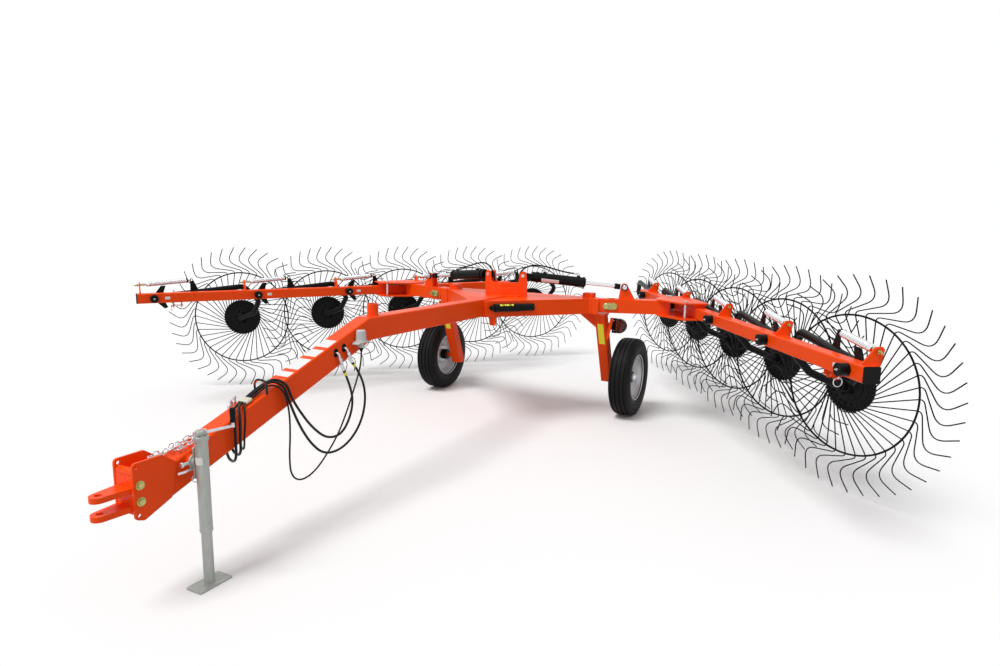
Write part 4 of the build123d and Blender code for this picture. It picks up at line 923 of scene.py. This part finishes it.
def make_hose_hoop():
    """The black hoop over the hoses, the black rims of the hose slots, and their walls and bottoms dark as
    painted shade.
    """
    hoop = Shape()
    corners = [(HOOP_X - HOOP_HALF, HOOP_FOOT), (HOOP_X - HOOP_HALF, HOOP_TOP),
               (HOOP_X + HOOP_HALF, HOOP_TOP), (HOOP_X + HOOP_HALF, HOOP_FOOT)]
    add_tube(hoop, rounded([((x, HOOP_Y, z), 0.038) for x, z in corners], steps=10), 0.0057, sides=14)
    for exit_y, exit_z in HOSE_EXITS:
        rim = []
        for end in (1, -1):
            for k in range(SLOT_STEPS + 1):
                angle = math.pi * (k / SLOT_STEPS - 0.5)
                across = end * math.sin(angle) * SLOT_END_R
                high = end * (SLOT_HALF + math.cos(angle) * SLOT_END_R)
                rim.append(Vector((TONGUE_HALF + 0.0005, exit_y + across, exit_z + high)))
        add_tube(hoop, rim, 0.0022, closed=True)
        count = len(rim)
        # Dark walls and a flat dark sheet at the bottom of each slot: painted shade inside the recess
        bottom = [point - ACROSS * SLOT_DEPTH for point in rim]
        hoop.add(bottom, [tuple(range(count))])
        hoop.add([point - ACROSS * 0.002 for point in rim] + bottom,
                 [(k, (k + 1) % count, count + (k + 1) % count, count + k) for k in range(count)])
    hoop.build("hose_hoop", hoop_black_and_slot_shade, smooth=60)


def make_hose_tape():
    """The tape that ties the hoses and the cable on the tongue, a flat oval with small ripples."""
    rings = []
    for shift, grow in TAPE_RINGS:
        ring = []
        for k in range(TAPE_STEPS):
            angle = 2 * math.pi * k / TAPE_STEPS
            wide = math.copysign(abs(math.cos(angle)) ** 0.7, math.cos(angle)) * TAPE_WIDE
            high = math.copysign(abs(math.sin(angle)) ** 0.8, math.sin(angle)) * TAPE_HIGH
            ripple = 1 + 0.02 * math.sin(5 * angle + shift * 200)
            along = shift + 0.002 * math.sin(3 * angle)
            ring.append(TAPE_CENTRE + TONGUE_ALONG * along + ACROSS * (wide * grow * ripple)
                        + TONGUE_LIFT * (high * grow * ripple))
        rings.append(ring)
    tape = Shape()
    add_loft(tape, rings)
    tape.build("hose_tape", cream_tape, smooth=70)


# Labels and reflectors
FILM = 0.0008
STRIP_WIDTH = 0.090
STRIP_ENDS = ((-1.893, -1.815), (-1.996, -1.925), (-2.132, -2.026), (-2.206, -2.160))
LEG_FRONT = AXLE_Y - 0.297
LEG_BACK = AXLE_Y - 0.193
LEG_TOP = 0.913
LEG_RAKE = Vector((0, 0.245, -0.628)).normalized()


def tongue_spot(x, y, lift):
    """A point over the top of the tongue's front run."""
    return Vector((x, y, 0.5563 + (y + 3.045) * TONGUE_SLOPE)) + TONGUE_LIFT * lift


def make_frame_labels():
    """Blank labels: the step strip on the tongue, one on the jack and one on the frame."""
    white = Shape()
    for start, end in STRIP_ENDS:
        add_box(white, tongue_spot(0, (start + end) / 2, FILM / 2), ACROSS, TONGUE_ALONG, TONGUE_LIFT,
                (STRIP_WIDTH, (end - start) * 1.06, FILM), 0.002)
    add_wrap(white, (JACK_X, JACK_Y, 0), UP, (0.25, -1, 0), JACK_R, (0.588, 0.622), (-38, 42))
    add_box(white, (0.46, AXLE_Y - 0.276, FRAME_TOP + FILM / 2), ACROSS, BACK, UP, (0.105, 0.022, FILM),
            0.002)
    white.build("blank_labels", white_film)


def make_beam_labels():
    """A blank label beside each pivot cap."""
    for side, sign in SIDES:
        inwards, backwards = wing_axes(sign)
        plates = Shape()
        for station in range(STATIONS):
            spot = wing_spot(sign, station * STATION + PIVOT_S + 0.105, BEAM_BACK - BEAM - 0.0003, PIVOT_Z)
            add_box(plates, spot, inwards, UP, backwards, (0.040, 0.024, FILM), 0.002)
        plates.build(f"beam_labels_{side}", white_film, f"wing_{side}")


def make_reflectors():
    """The yellow strip on the front of each leg."""
    strips = Shape()
    square = Vector((0, LEG_RAKE.z, -LEG_RAKE.y))
    for _, sign in SIDES:
        top = Vector((sign * LEG_X, LEG_FRONT, LEG_TOP))
        add_box(strips, top + LEG_RAKE * 0.183 + square * 0.0006 + ACROSS * 0.002, ACROSS, LEG_RAKE, square,
                (0.052, 0.200, 0.0012), 0.003)
    strips.build("leg_reflectors", yellow_film)


# Hitch bolts and safety chain
HITCH_BOLT_Y = HITCH_Y + 0.139
HITCH_BOLT_ZS = (0.559, 0.486)
CHAIN_STRANDS = (
    ((-0.030, -2.975, 0.630), (-0.034, -2.935, 0.628), (-0.036, -2.900, 0.622), (-0.034, -2.860, 0.6315),
     (-0.028, -2.800, 0.6525), (-0.018, -2.745, 0.6715), (-0.004, -2.700, 0.6875)),
    ((-0.004, -2.700, 0.6875), (0.014, -2.722, 0.684), (0.026, -2.765, 0.6695), (0.030, -2.815, 0.6525),
     (0.022, -2.858, 0.641), (0.004, -2.885, 0.640)))
CHAIN_HOOK = (((0.004, -2.885, 0.643), 0), ((-0.016, -2.892, 0.650), 0.01), ((-0.022, -2.872, 0.668), 0.012),
              ((-0.004, -2.856, 0.668), 0.012), ((0.004, -2.868, 0.650), 0))
CHAIN_PITCH = 0.027
LINK_LENGTH = 0.038
LINK_WIDTH = 0.025
LINK_WIRE = 0.0065

# Jack
JACK_PLATE_Z = 0.590
JACK_CAP_PROFILE = (
    (-0.020, 0.0288), (-0.019, 0.0335), (-0.001, 0.0335), (0.001, 0.0315), (0.001, 0.016), (0.003, 0.0155),
    (0.010, 0.0150), (0.010, 0))
GEAR_BOSS_PROFILE = (
    (0, 0), (0, 0.0145), (0.003, 0.0165), (0.030, 0.0165), (0.034, 0.0145), (0.046, 0.0085), (0.046, 0))
FLANGE_PROFILE = (
    (-0.005, 0.0275), (-0.005, 0.0350), (-0.0035, 0.0365), (0.004, 0.0365), (0.0055, 0.0350), (0.0055, 0.020))
PIN_HEAD_PROFILE = ((0, 0), (0, 0.0125), (0.007, 0.0125), (0.009, 0.010), (0.009, 0))
PIN_X = 0.092
PIN_Z = 0.592
LOCK_RING = Vector((0.101, JACK_Y - 0.010, 0.512))
LOCK_RING_R = 0.017
LOCK_WIRE_R = 0.0022
CRANK_WAY = Vector((0.2, 0.98, 0))
CRANK_REACH = 0.155


def make_hitch_bolts():
    """Two bolts on each side of the hitch plates."""
    bolts = Shape()
    for height in HITCH_BOLT_ZS:
        for sign in (1, -1):
            add_bolt(bolts, (sign * (TONGUE_HALF + 0.012), HITCH_BOLT_Y, height), (sign, 0, 0), 0.030)
    bolts.build("hitch_bolts", yellow_zinc)


def make_safety_chain():
    """The chain that lies on the tongue, flat and upright links in turn, and the hook at its end."""
    chain = Shape()
    links = 0
    for strand in CHAIN_STRANDS:
        route = rounded([(point, 0.03) for point in strand], steps=4)
        total = sum((b - a).length for a, b in zip(route, route[1:]))
        count = round(total / CHAIN_PITCH)
        for k in range(count):
            piece = stretch_of(route, total * k / count, total * (k + 1) / count)
            if len(piece) < 2:
                continue
            flat, lift = (UP, 0.001) if links % 2 == 0 else (ACROSS, 0.008)
            middle = (piece[0] + piece[-1]) / 2 + UP * lift
            add_link(chain, middle, piece[-1] - piece[0], flat, LINK_LENGTH, LINK_WIDTH, LINK_WIRE)
            links += 1
    add_tube(chain, rounded(CHAIN_HOOK, steps=5), 0.0045, sides=10)
    chain.build("safety_chain", zinc, smooth=60)


def make_jack_mounting():
    """The jack's cap, the boss of its crank, the collar of its foot, and its flange and plate."""
    jack = Shape()
    add_lathe(jack, (JACK_X, JACK_Y, JACK_TOP), UP, JACK_CAP_PROFILE, segments=40)
    crank = CRANK_WAY.normalized()
    boss = Vector((JACK_X, JACK_Y, JACK_TOP + 0.013))
    add_lathe(jack, boss - crank * 0.021, crank, GEAR_BOSS_PROFILE, segments=28)
    add_sleeve(jack, (JACK_X, JACK_Y, 0.266), UP, 0.0, 0.010, 0.0285, 0.0298, segments=32)
    flange = Vector((JACK_X - JACK_R - 0.0185, JACK_Y, JACK_PLATE_Z))
    add_lathe(jack, flange, ACROSS, FLANGE_PROFILE, segments=40)
    add_box(jack, (JACK_X - JACK_R + 0.0005, JACK_Y, JACK_PLATE_Z), BACK, UP, ACROSS, (0.050, 0.150, 0.008),
            0.006)
    jack.build("jack_mounting", galvanized)


def make_jack_pins():
    """The pin that locks the jack on its stub, its lever, and the lock ring that hangs beside it."""
    pins = Shape()
    head = (PIN_X, JACK_Y - 0.068, PIN_Z)
    lever = (((PIN_X, JACK_Y - 0.020, 0.561), 0), ((0.090, JACK_Y - 0.052, 0.556), 0.012),
             ((0.078, JACK_Y - 0.084, 0.552), 0))
    hanger = (((0.101, JACK_Y - 0.010, 0.529), 0), ((0.103, JACK_Y - 0.008, 0.548), 0.006),
              ((0.101, JACK_Y - 0.022, 0.560), 0))
    add_tube(pins, [(PIN_X, JACK_Y - 0.040, PIN_Z), head], 0.0085, sides=16)
    add_tube(pins, rounded(lever), 0.0062, sides=12)
    add_lathe(pins, head, (0, -1, 0), PIN_HEAD_PROFILE, segments=24)
    ring_way = Vector((0.35, 0.9, 0)).normalized()
    add_tube(pins, circle(LOCK_RING, ring_way, UP, LOCK_RING_R, 28), LOCK_WIRE_R, closed=True)
    add_tube(pins, rounded(hanger), LOCK_WIRE_R)
    pins.build("jack_pins", zinc)


def make_crank_grip():
    """The waisted grip on the crank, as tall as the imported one."""
    grip = Shape()
    bottom, top = (corner[2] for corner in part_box("crank_grip"))
    high = top - bottom
    spot = Vector((JACK_X + CRANK_WAY.x * CRANK_REACH, JACK_Y + CRANK_WAY.y * CRANK_REACH, 0.0))
    add_lathe(grip, spot + UP * bottom, UP, (
        (0, 0), (0, 0.0125), (0.003, 0.0140), (0.008, 0.0138), (high * 0.30, 0.0122), (high * 0.60, 0.0134),
        (high * 0.86, 0.0140), (high - 0.006, 0.0134), (high, 0.0100), (high, 0)), segments=32)
    grip_piece = grip.build("grip_moulding", black_plastic)
    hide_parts("crank_grip")


# Parking socket, document tube and lamps
SOCKET_RIBS = 16
SOCKET_RIM_PROFILE = ((-0.0005, 0.029), (-0.0005, 0.0335), (0.0045, 0.0335), (0.006, 0.0315), (0.006, 0.029))
PLUG_RING_PROFILE = ((0.008, 0.0158), (0.008, 0.0185), (0.013, 0.0185), (0.015, 0.0162), (0.015, 0.0158))
PLUG_BOOT_PROFILE = (
    (0.040, 0.010), (0.040, 0.0132), (0.052, 0.0120), (0.060, 0.0080), (0.066, 0.0054), (0.066, 0.005))
TUBE_START = Vector((0.075, AXLE_Y - 1.010, 1.003))
TUBE_END = Vector((0.705, AXLE_Y - 0.330, 1.003))
# Yellow marks on the document tube, each from and to along it
TUBE_MARKS = ((0.042, 0.062), (0.068, 0.072), (0.080, 0.094), (0.098, 0.118), (0.124, 0.128), (0.140, 0.158))
LENS_R = 0.050
CELL_PROFILE = ((0, 0.0072), (0.0010, 0.0062), (0.0010, 0))
STRAP_WAY = (-0.048, 0.020, -0.195)


def make_parking_socket():
    """Ribs, rim and lip of the parking socket, and the ring and boot of the plug in it."""
    socket = Shape()
    for rib in range(SOCKET_RIBS):
        angle = 2 * math.pi * rib / SOCKET_RIBS
        away = Vector((math.cos(angle), math.sin(angle), 0))
        add_tube(socket, [SOCKET + away * 0.0312 + UP * 0.004, SOCKET + away * 0.0275 + UP * 0.058], 0.0011,
                 sides=6)
    add_lathe(socket, SOCKET, UP, SOCKET_RIM_PROFILE, segments=40)
    lip = Vector((0, -1, -0.28)).normalized()
    add_box(socket, SOCKET + Vector((0, -0.046, -0.010)), ACROSS, lip, ACROSS.cross(lip),
            (0.050, 0.022, 0.006), 0.003)
    socket.build("socket_ribs", grey_plastic)
    plug = Shape()
    add_lathe(plug, SOCKET, DOWN, PLUG_RING_PROFILE, segments=32)
    add_lathe(plug, SOCKET, DOWN, PLUG_BOOT_PROFILE, segments=24)
    plug.build("plug_rings", black_plastic)


def make_tube_details():
    """Yellow marks and raised rings on the document tube."""
    along = (TUBE_END - TUBE_START).normalized()
    front = Vector((along.y, -along.x, 0))
    start = TUBE_START + along * 0.062 + front * 0.0333
    marks = Shape()
    for span in TUBE_MARKS:
        add_wrap(marks, start, along, front, 0.0332, span, (-62, -34))
    marks.build("tube_marks", yellow_film)
    rings = Shape()
    for low in (0.0, 0.012, 0.205):
        add_sleeve(rings, start, along, low, low + 0.008, 0.032, 0.0342, segments=40)
    for low in (0.222, 0.232, 0.242, 0.322):
        add_sleeve(rings, start, along, low, low + 0.005, 0.029, 0.0312, segments=40)
    rings.build("tube_rings", black_plastic)


def lamp_cells():
    """Places of a lens's cells as (x, z): rows set off by half, inside an outline with a round outer end."""
    round_x = LAMP_X + 0.064
    cells = []
    for column in range(4):
        for row in range(5):
            x = LAMP_X + 0.044 + 0.020 * column
            z = LAMP_Z + 0.021 * (row - 2 + 0.5 * (column % 2))
            past_end = x > round_x and math.dist((x, z), (round_x, LAMP_Z)) > LENS_R
            if not past_end and abs(z - LAMP_Z) <= LENS_R:
                cells.append((x, z))
    return cells


def make_lamp_details():
    """Cells and screws on both faces of the lamps, and the straps that carry them."""
    dots = Shape()
    screws = Shape()
    straps = Shape()
    for _, sign in SIDES:
        for face in (-1, 1):
            for x, z in lamp_cells():
                add_lathe(dots, (sign * x, LAMP_Y + face * LAMP_HALF, z), (0, face, 0), CELL_PROFILE,
                          segments=14)
            for height in (-0.045, 0.045):
                seat = (sign * (LAMP_X + 0.018), LAMP_Y + face * 0.017, LAMP_Z + height)
                add_prism(screws, seat, (0, face, 0), 0.0062, 0.003, sides=16)
        along = Vector((sign * STRAP_WAY[0], STRAP_WAY[1], STRAP_WAY[2])).normalized()
        broad = along.cross(BACK).normalized()
        add_box(straps, Vector((sign * 0.868, AXLE_Y - 0.262, 0.800)) + Vector((0, 0.02, 0)), broad, along,
                broad.cross(along), (0.026, 0.200, 0.005), 0.004)
    dots.build("lamp_cells", lamp_amber)
    screws.build("lamp_screws", zinc)
    straps.build("lamp_straps", orange_paint)


# Fold cylinders and hinges
PORT_PROFILE = ((0.036, 0), (0.036, 0.0155), (0.051, 0.0150), (0.053, 0.0135), (0.053, 0))
NEAR_PORT = BARREL_START + 0.105
BARREL_END = BARREL_START + BARREL_LEN
FAR_PORT = BARREL_END - 0.060
CYL_HOSE_OD = 0.013
WASHER_PROFILE = (
    (0, 0.0143), (0, 0.0245), (0.001, 0.0255), (0.008, 0.0255), (0.009, 0.0245), (0.009, 0.0143))
ROD_PIN_PROFILE = (
    (0, 0.0195), (0.002, 0.0200), (0.007, 0.0190), (0.009, 0.0165), (0.009, 0.008), (0.0075, 0.006),
    (0.0075, 0))
FOLD_PIN_PROFILE = (
    (0, 0.0270), (0.004, 0.0275), (0.010, 0.0262), (0.014, 0.0215), (0.016, 0.012), (0.016, 0))
PLATE_THICK = 0.012


def hinge_axes(sign):
    """A fold hinge at ground level, and its directions outwards and backwards."""
    outwards = Vector((sign * math.cos(SWEEP), math.sin(SWEEP), 0))
    backwards = Vector((-sign * math.sin(SWEEP), math.cos(SWEEP), 0))
    return Vector((sign * FOLD_X, FOLD_Y, 0)), outwards, backwards


def cylinder_line(sign):
    """A fold cylinder's base, its rod's eye, and the direction from one to the other."""
    hinge, outwards, _ = hinge_axes(sign)
    base = hinge + outwards * CYL_BASE[0] + UP * CYL_BASE[1]
    eye = hinge + outwards * CYL_EYE[0] + UP * CYL_EYE[1]
    return base, eye, (eye - base).normalized()


def add_port_elbow(shape, port, lift, run, reach):
    """The nut on a port of the barrel and the elbow that turns back along it."""
    top = port + lift * 0.067
    add_prism(shape, port + lift * 0.053, lift, 0.0125, 0.010)
    bend = rounded([(port + lift * 0.050, 0), (top, 0.010), (top - run * reach, 0)], steps=6)
    add_tube(shape, bend, 0.0072, sides=14)


def make_cylinder_details(side, sign):
    """Rings, ports and elbows on a barrel, the label on the right one, and the hose that feeds it."""
    base, _, run = cylinder_line(sign)
    lift = (UP - run * UP.dot(run)).normalized()
    body = f"cylinder_body_{side}"
    near = base + run * NEAR_PORT
    port = base + run * FAR_PORT
    black = Shape()
    add_sleeve(black, base, run, BARREL_START - 0.003, BARREL_START + 0.012, 0.030, 0.0440)
    add_sleeve(black, base, run, BARREL_START + 0.032, BARREL_START + 0.056, 0.041, 0.0475)
    add_sleeve(black, base, run, BARREL_END - 0.024, BARREL_END - 0.001, 0.041, 0.0465)
    add_sleeve(black, base, run, BARREL_END - 0.001, BARREL_END + 0.008, 0.0175, 0.0330, segments=40)
    for spot in (near, port):
        add_lathe(black, spot, lift, PORT_PROFILE, segments=28)
    black.build(f"barrel_fittings_{side}", black_paint, body)
    if side == "right":
        label = Shape()
        add_wrap(label, base, run, (0, -1, -0.45), BARREL_R, (BARREL_START + 0.085, BARREL_START + 0.235),
                 (-24, 24))
        label.build("barrel_label", white_film, body)

    metal = Shape()
    add_port_elbow(metal, port, lift, run, 0.04)
    add_prism(metal, port + lift * 0.067 - run * 0.016, -run, 0.0120, 0.014)
    add_port_elbow(metal, near, lift, run, 0.03)
    metal.build(f"barrel_elbows_{side}", zinc, body)

    first = port + lift * 0.067 - run * 0.038
    route = [first, port + lift * 0.068 - run * 0.090]
    for along, high in ((0.300, 0.078), (0.200, 0.098), (0.090, 0.105), (0.010, 0.075), (-0.040, 0.010),
                        (-0.050, -0.060)):
        route.append(base + run * along + lift * high)
    hose = make_cord(f"cylinder_hose_{side}", route, CYL_HOSE_OD, body)


def make_hinge_details(side, sign):
    """The block at the rod's eye, the washers and head of its pin, and the heads on the fold pin's plate."""
    hinge, outwards, backwards = hinge_axes(sign)
    _, eye, run = cylinder_line(sign)
    wing = f"wing_{side}"
    fork = Shape()
    lift = backwards.cross(run).normalized()
    add_box(fork, eye - run * 0.060, backwards, lift, run, (0.060, 0.046, 0.048), 0.006)
    fork.build(f"rod_fork_{side}", black_paint, f"cylinder_piston_{side}")

    washers = Shape()
    for face in (-1, 1):
        seat = eye + backwards * (face * (EAR_OUTER + 0.0003))
        add_lathe(washers, seat, backwards * face, WASHER_PROFILE, segments=40, closed=True)
    washers.build(f"rod_washers_{side}", black_paint, wing)

    head = Shape()
    add_lathe(head, eye - backwards * (EAR_OUTER + 0.0105), -backwards, ROD_PIN_PROFILE, segments=32)
    head.build(f"rod_pin_head_{side}", zinc, wing)

    caps = Shape()
    plate = hinge + UP * FOLD_Z - backwards * FOLD_PLATE_FRONT
    add_lathe(caps, plate, -backwards, FOLD_PIN_PROFILE, segments=36)
    add_bolt(caps, plate + outwards * 0.062, -backwards, 0.036)
    caps.build(f"fold_pin_heads_{side}", yellow_zinc, wing)


def bracket_outline(middle):
    """Half a bracket plate as (outwards, height): along its foot, over the ear and back along the saddle."""
    foot = FRAME_TOP - 0.004
    outline = [(middle, foot), (EDGE_U, foot)]
    for k in range(15):
        angle = math.radians(-4 + 152 * k / 14)
        outline.append((CYL_BASE[0] + EAR_CURVE * math.cos(angle), CYL_BASE[1] + EAR_CURVE * math.sin(angle)))
    for k in range(9):
        angle = math.radians(-30 - 60 * k / 8)
        outline.append((SADDLE_U + SADDLE_CURVE * math.cos(angle),
                        SADDLE_Z + SADDLE_CURVE + SADDLE_CURVE * math.sin(angle)))
    outline.append((middle, SADDLE_Z))
    return outline


def make_cylinder_bracket():
    """Front and rear plate with an ear for each cylinder and a flat saddle between them, on a base plate."""
    bracket = Shape()
    for sign in (1, -1):
        hinge, outwards, backwards = hinge_axes(sign)
        for inner, outer in ((-EAR_OUTER, PLATE_THICK - EAR_OUTER), (EAR_OUTER - PLATE_THICK, EAR_OUTER)):
            layers = []
            for reach in (inner, outer):
                middle = (reach * math.sin(SWEEP) - FOLD_X) / math.cos(SWEEP)
                layers.append([hinge + outwards * u + backwards * reach + UP * z
                               for u, z in bracket_outline(middle)])
            add_loft(bracket, layers)
    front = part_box("cylinder_bracket")[0][1]
    add_box(bracket, (0, front + 0.090, FRAME_TOP + 0.002), ACROSS, BACK, UP, (0.30, 0.08, 0.012), 0.006)
    bracket_piece = bracket.build("bracket_plates", orange_paint)
    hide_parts("cylinder_bracket")


# Wings
CAP_RIM_PROFILE = (
    (-0.012, 0.0325), (-0.012, 0.0340), (0.001, 0.0340), (0.0025, 0.0325), (0.0025, 0.0280), (0.0005, 0.0270),
    (0.0005, 0))
NIPPLE_PROFILE = (
    (0, 0.0065), (0.004, 0.0065), (0.005, 0.0040), (0.010, 0.0040), (0.012, 0.0030), (0.014, 0.0030),
    (0.015, 0))


def make_wing_details(side, sign):
    """Rims and grease nipples of the pivot caps, and the blocks at the springs' far ends."""
    _, backwards = wing_axes(sign)
    body = f"wing_{side}"
    caps = Shape()
    nipples = Shape()
    blocks = Shape()
    for station in range(STATIONS):
        front = wing_spot(sign, station * STATION + PIVOT_S, PIVOT_CAP_FRONT, PIVOT_Z)
        add_lathe(caps, front, -backwards, CAP_RIM_PROFILE, segments=40)
        add_lathe(nipples, front, -backwards, NIPPLE_PROFILE, segments=16)
        anchor, _, run = spring_line(sign, station)
        side_way = (backwards - run * backwards.dot(run)).normalized()
        far = anchor + run * (SPRING_START + SPRING_LEN + 0.010)
        add_box(blocks, far, side_way, run.cross(side_way), run, (0.040, 0.040, 0.012), 0.005)
    caps.build(f"pivot_rims_{side}", black_plastic, body)
    nipples.build(f"grease_nipples_{side}", zinc, body)
    blocks.build(f"spring_ends_{side}", black_plastic, body)


# Weld beads
STUB_R = 0.0285
STORAGE_R = 0.0355
STORAGE_Y = AXLE_Y - 2.355
STORAGE_TOP = 1.0915


def make_frame_welds():
    """Beads round the legs' head plates, at the hitch plates, the jack's stub and the storage tube."""
    beads = Shape()
    seam = TONGUE_HALF + 0.001
    for sign in (1, -1):
        inner = sign * (LEG_X - LEG_HALF)
        outer = sign * (LEG_X + LEG_HALF)
        add_weld(beads, [(inner, LEG_FRONT, LEG_TOP), (outer, LEG_FRONT, LEG_TOP), (outer, LEG_BACK, LEG_TOP),
                         (inner, LEG_BACK, LEG_TOP)], 0.0045, closed=True)
        add_weld(beads, [(sign * seam, -2.906, 0.602), (sign * seam, -2.940, 0.456)], 0.0045)
        add_weld(beads, [(sign * seam, -2.978, 0.582), (sign * seam, -2.910, 0.605)], 0.0040)
    around = [2 * math.pi * k / 24 for k in range(24)]
    at_stub = [(seam, JACK_Y + STUB_R * math.cos(a), JACK_PLATE_Z + STUB_R * math.sin(a)) for a in around]
    add_weld(beads, at_stub, 0.004, closed=True)
    at_storage = [(STORAGE_R * math.cos(a), STORAGE_Y + STORAGE_R * math.sin(a), STORAGE_TOP) for a in around]
    add_weld(beads, at_storage, 0.004, closed=True)
    beads.build("weld_beads", orange_paint, smooth=80)


def make_bracket_welds():
    """Two beads along the foot of each spring bracket."""
    for side, sign in SIDES:
        seams = Shape()
        for station in range(STATIONS):
            start = station * STATION + BRACKET_S
            for edge in (-0.0055, 0.0055):
                add_weld(seams, [wing_spot(sign, start + edge, -BEAM_AHEAD - 0.030, BEAM_TOP + 0.0005),
                                 wing_spot(sign, start + edge, BEAM_BACK - 0.010, BEAM_TOP + 0.0005)], 0.0032)
        seams.build(f"bracket_welds_{side}", orange_paint, f"wing_{side}", smooth=80)


# Floor and light
FLOOR_HALF = 30.0
FLOOR_LIT = 0.45
FLOOR_SEEN = 0.92
SKY_LIGHT = 0.60
SUN_POWER = 1.9
SUN_SIZE = math.radians(25)
SUN_TURN = (math.radians(28), math.radians(-14), 0)


def seen_directly(tree):
    """1 for the rays that show the background: from the camera, in a reflection or through glass."""
    path = tree.nodes.new("ShaderNodeLightPath")
    seen = path.outputs["Is Camera Ray"]
    for name in ("Is Glossy Ray", "Is Transmission Ray"):
        either = tree.nodes.new("ShaderNodeMath")
        either.operation = "MAXIMUM"
        tree.links.new(seen, either.inputs[0])
        tree.links.new(path.outputs[name], either.inputs[1])
        seen = either.outputs["Value"]
    return seen


def make_floor():
    """A pale floor, which is darker for the light that it throws back at the object."""
    half = FLOOR_HALF
    corners = [(-half, -half, 0), (half, -half, 0), (half, half, 0), (-half, half, 0)]
    mesh = bpy.data.meshes.new("floor")
    mesh.from_pydata(corners, [], [(0, 1, 2, 3)])
    material, tree, shader = new_material("floor")
    shade = ramp(tree, seen_directly(tree), ((0.0, (FLOOR_LIT,) * 3), (1.0, (FLOOR_SEEN,) * 3)))
    tree.links.new(shade, shader.inputs["Base Color"])
    shader.inputs["Roughness"].default_value = 0.9
    shader.inputs["Specular IOR Level"].default_value = 0.1
    mesh.materials.append(material)
    floor_piece = bpy.data.objects.new("floor", mesh)
    bpy.context.scene.collection.objects.link(floor_piece)


def make_light():
    """A white sky, dimmer for the light that it throws on the object, and one soft lamp from above."""
    world = bpy.data.worlds.new("world")
    bpy.context.scene.world = world
    world.use_nodes = True
    tree = world.node_tree
    sky = tree.nodes["Background"]
    sky.inputs["Color"].default_value = (1, 1, 1, 1)
    strength = tree.nodes.new("ShaderNodeMath")
    strength.operation = "MULTIPLY_ADD"
    strength.inputs[1].default_value = 1 - SKY_LIGHT
    strength.inputs[2].default_value = SKY_LIGHT
    tree.links.new(seen_directly(tree), strength.inputs[0])
    tree.links.new(strength.outputs["Value"], sky.inputs["Strength"])

    lamp_data = bpy.data.lights.new("key", "SUN")
    lamp_data.energy = SUN_POWER
    lamp_data.angle = SUN_SIZE
    lamp = bpy.data.objects.new("key", lamp_data)
    lamp.rotation_euler = SUN_TURN
    bpy.context.scene.collection.objects.link(lamp)


make_camera()
make_hoses()
make_light_cable()
make_hose_hoop()
make_hose_tape()
paint_nodes()
make_hitch_bolts()
make_safety_chain()
make_jack_mounting()
make_jack_pins()
make_crank_grip()
make_parking_socket()
make_tube_details()
make_lamp_details()
make_frame_labels()
make_beam_labels()
make_reflectors()
make_frame_welds()
make_bracket_welds()
make_cylinder_bracket()
for side_name, side_sign in SIDES:
    make_ground_wheel(side_name, side_sign)
    make_springs(side_name, side_sign)
    make_cylinder_details(side_name, side_sign)
    make_hinge_details(side_name, side_sign)
    make_wing_details(side_name, side_sign)
    for wheel in range(STATIONS):
        make_rake_wheel(side_name, side_sign, wheel)
make_floor()
make_light()
bpy.context.scene.view_settings.view_transform = "Standard"

bpy.context.view_layer.update()
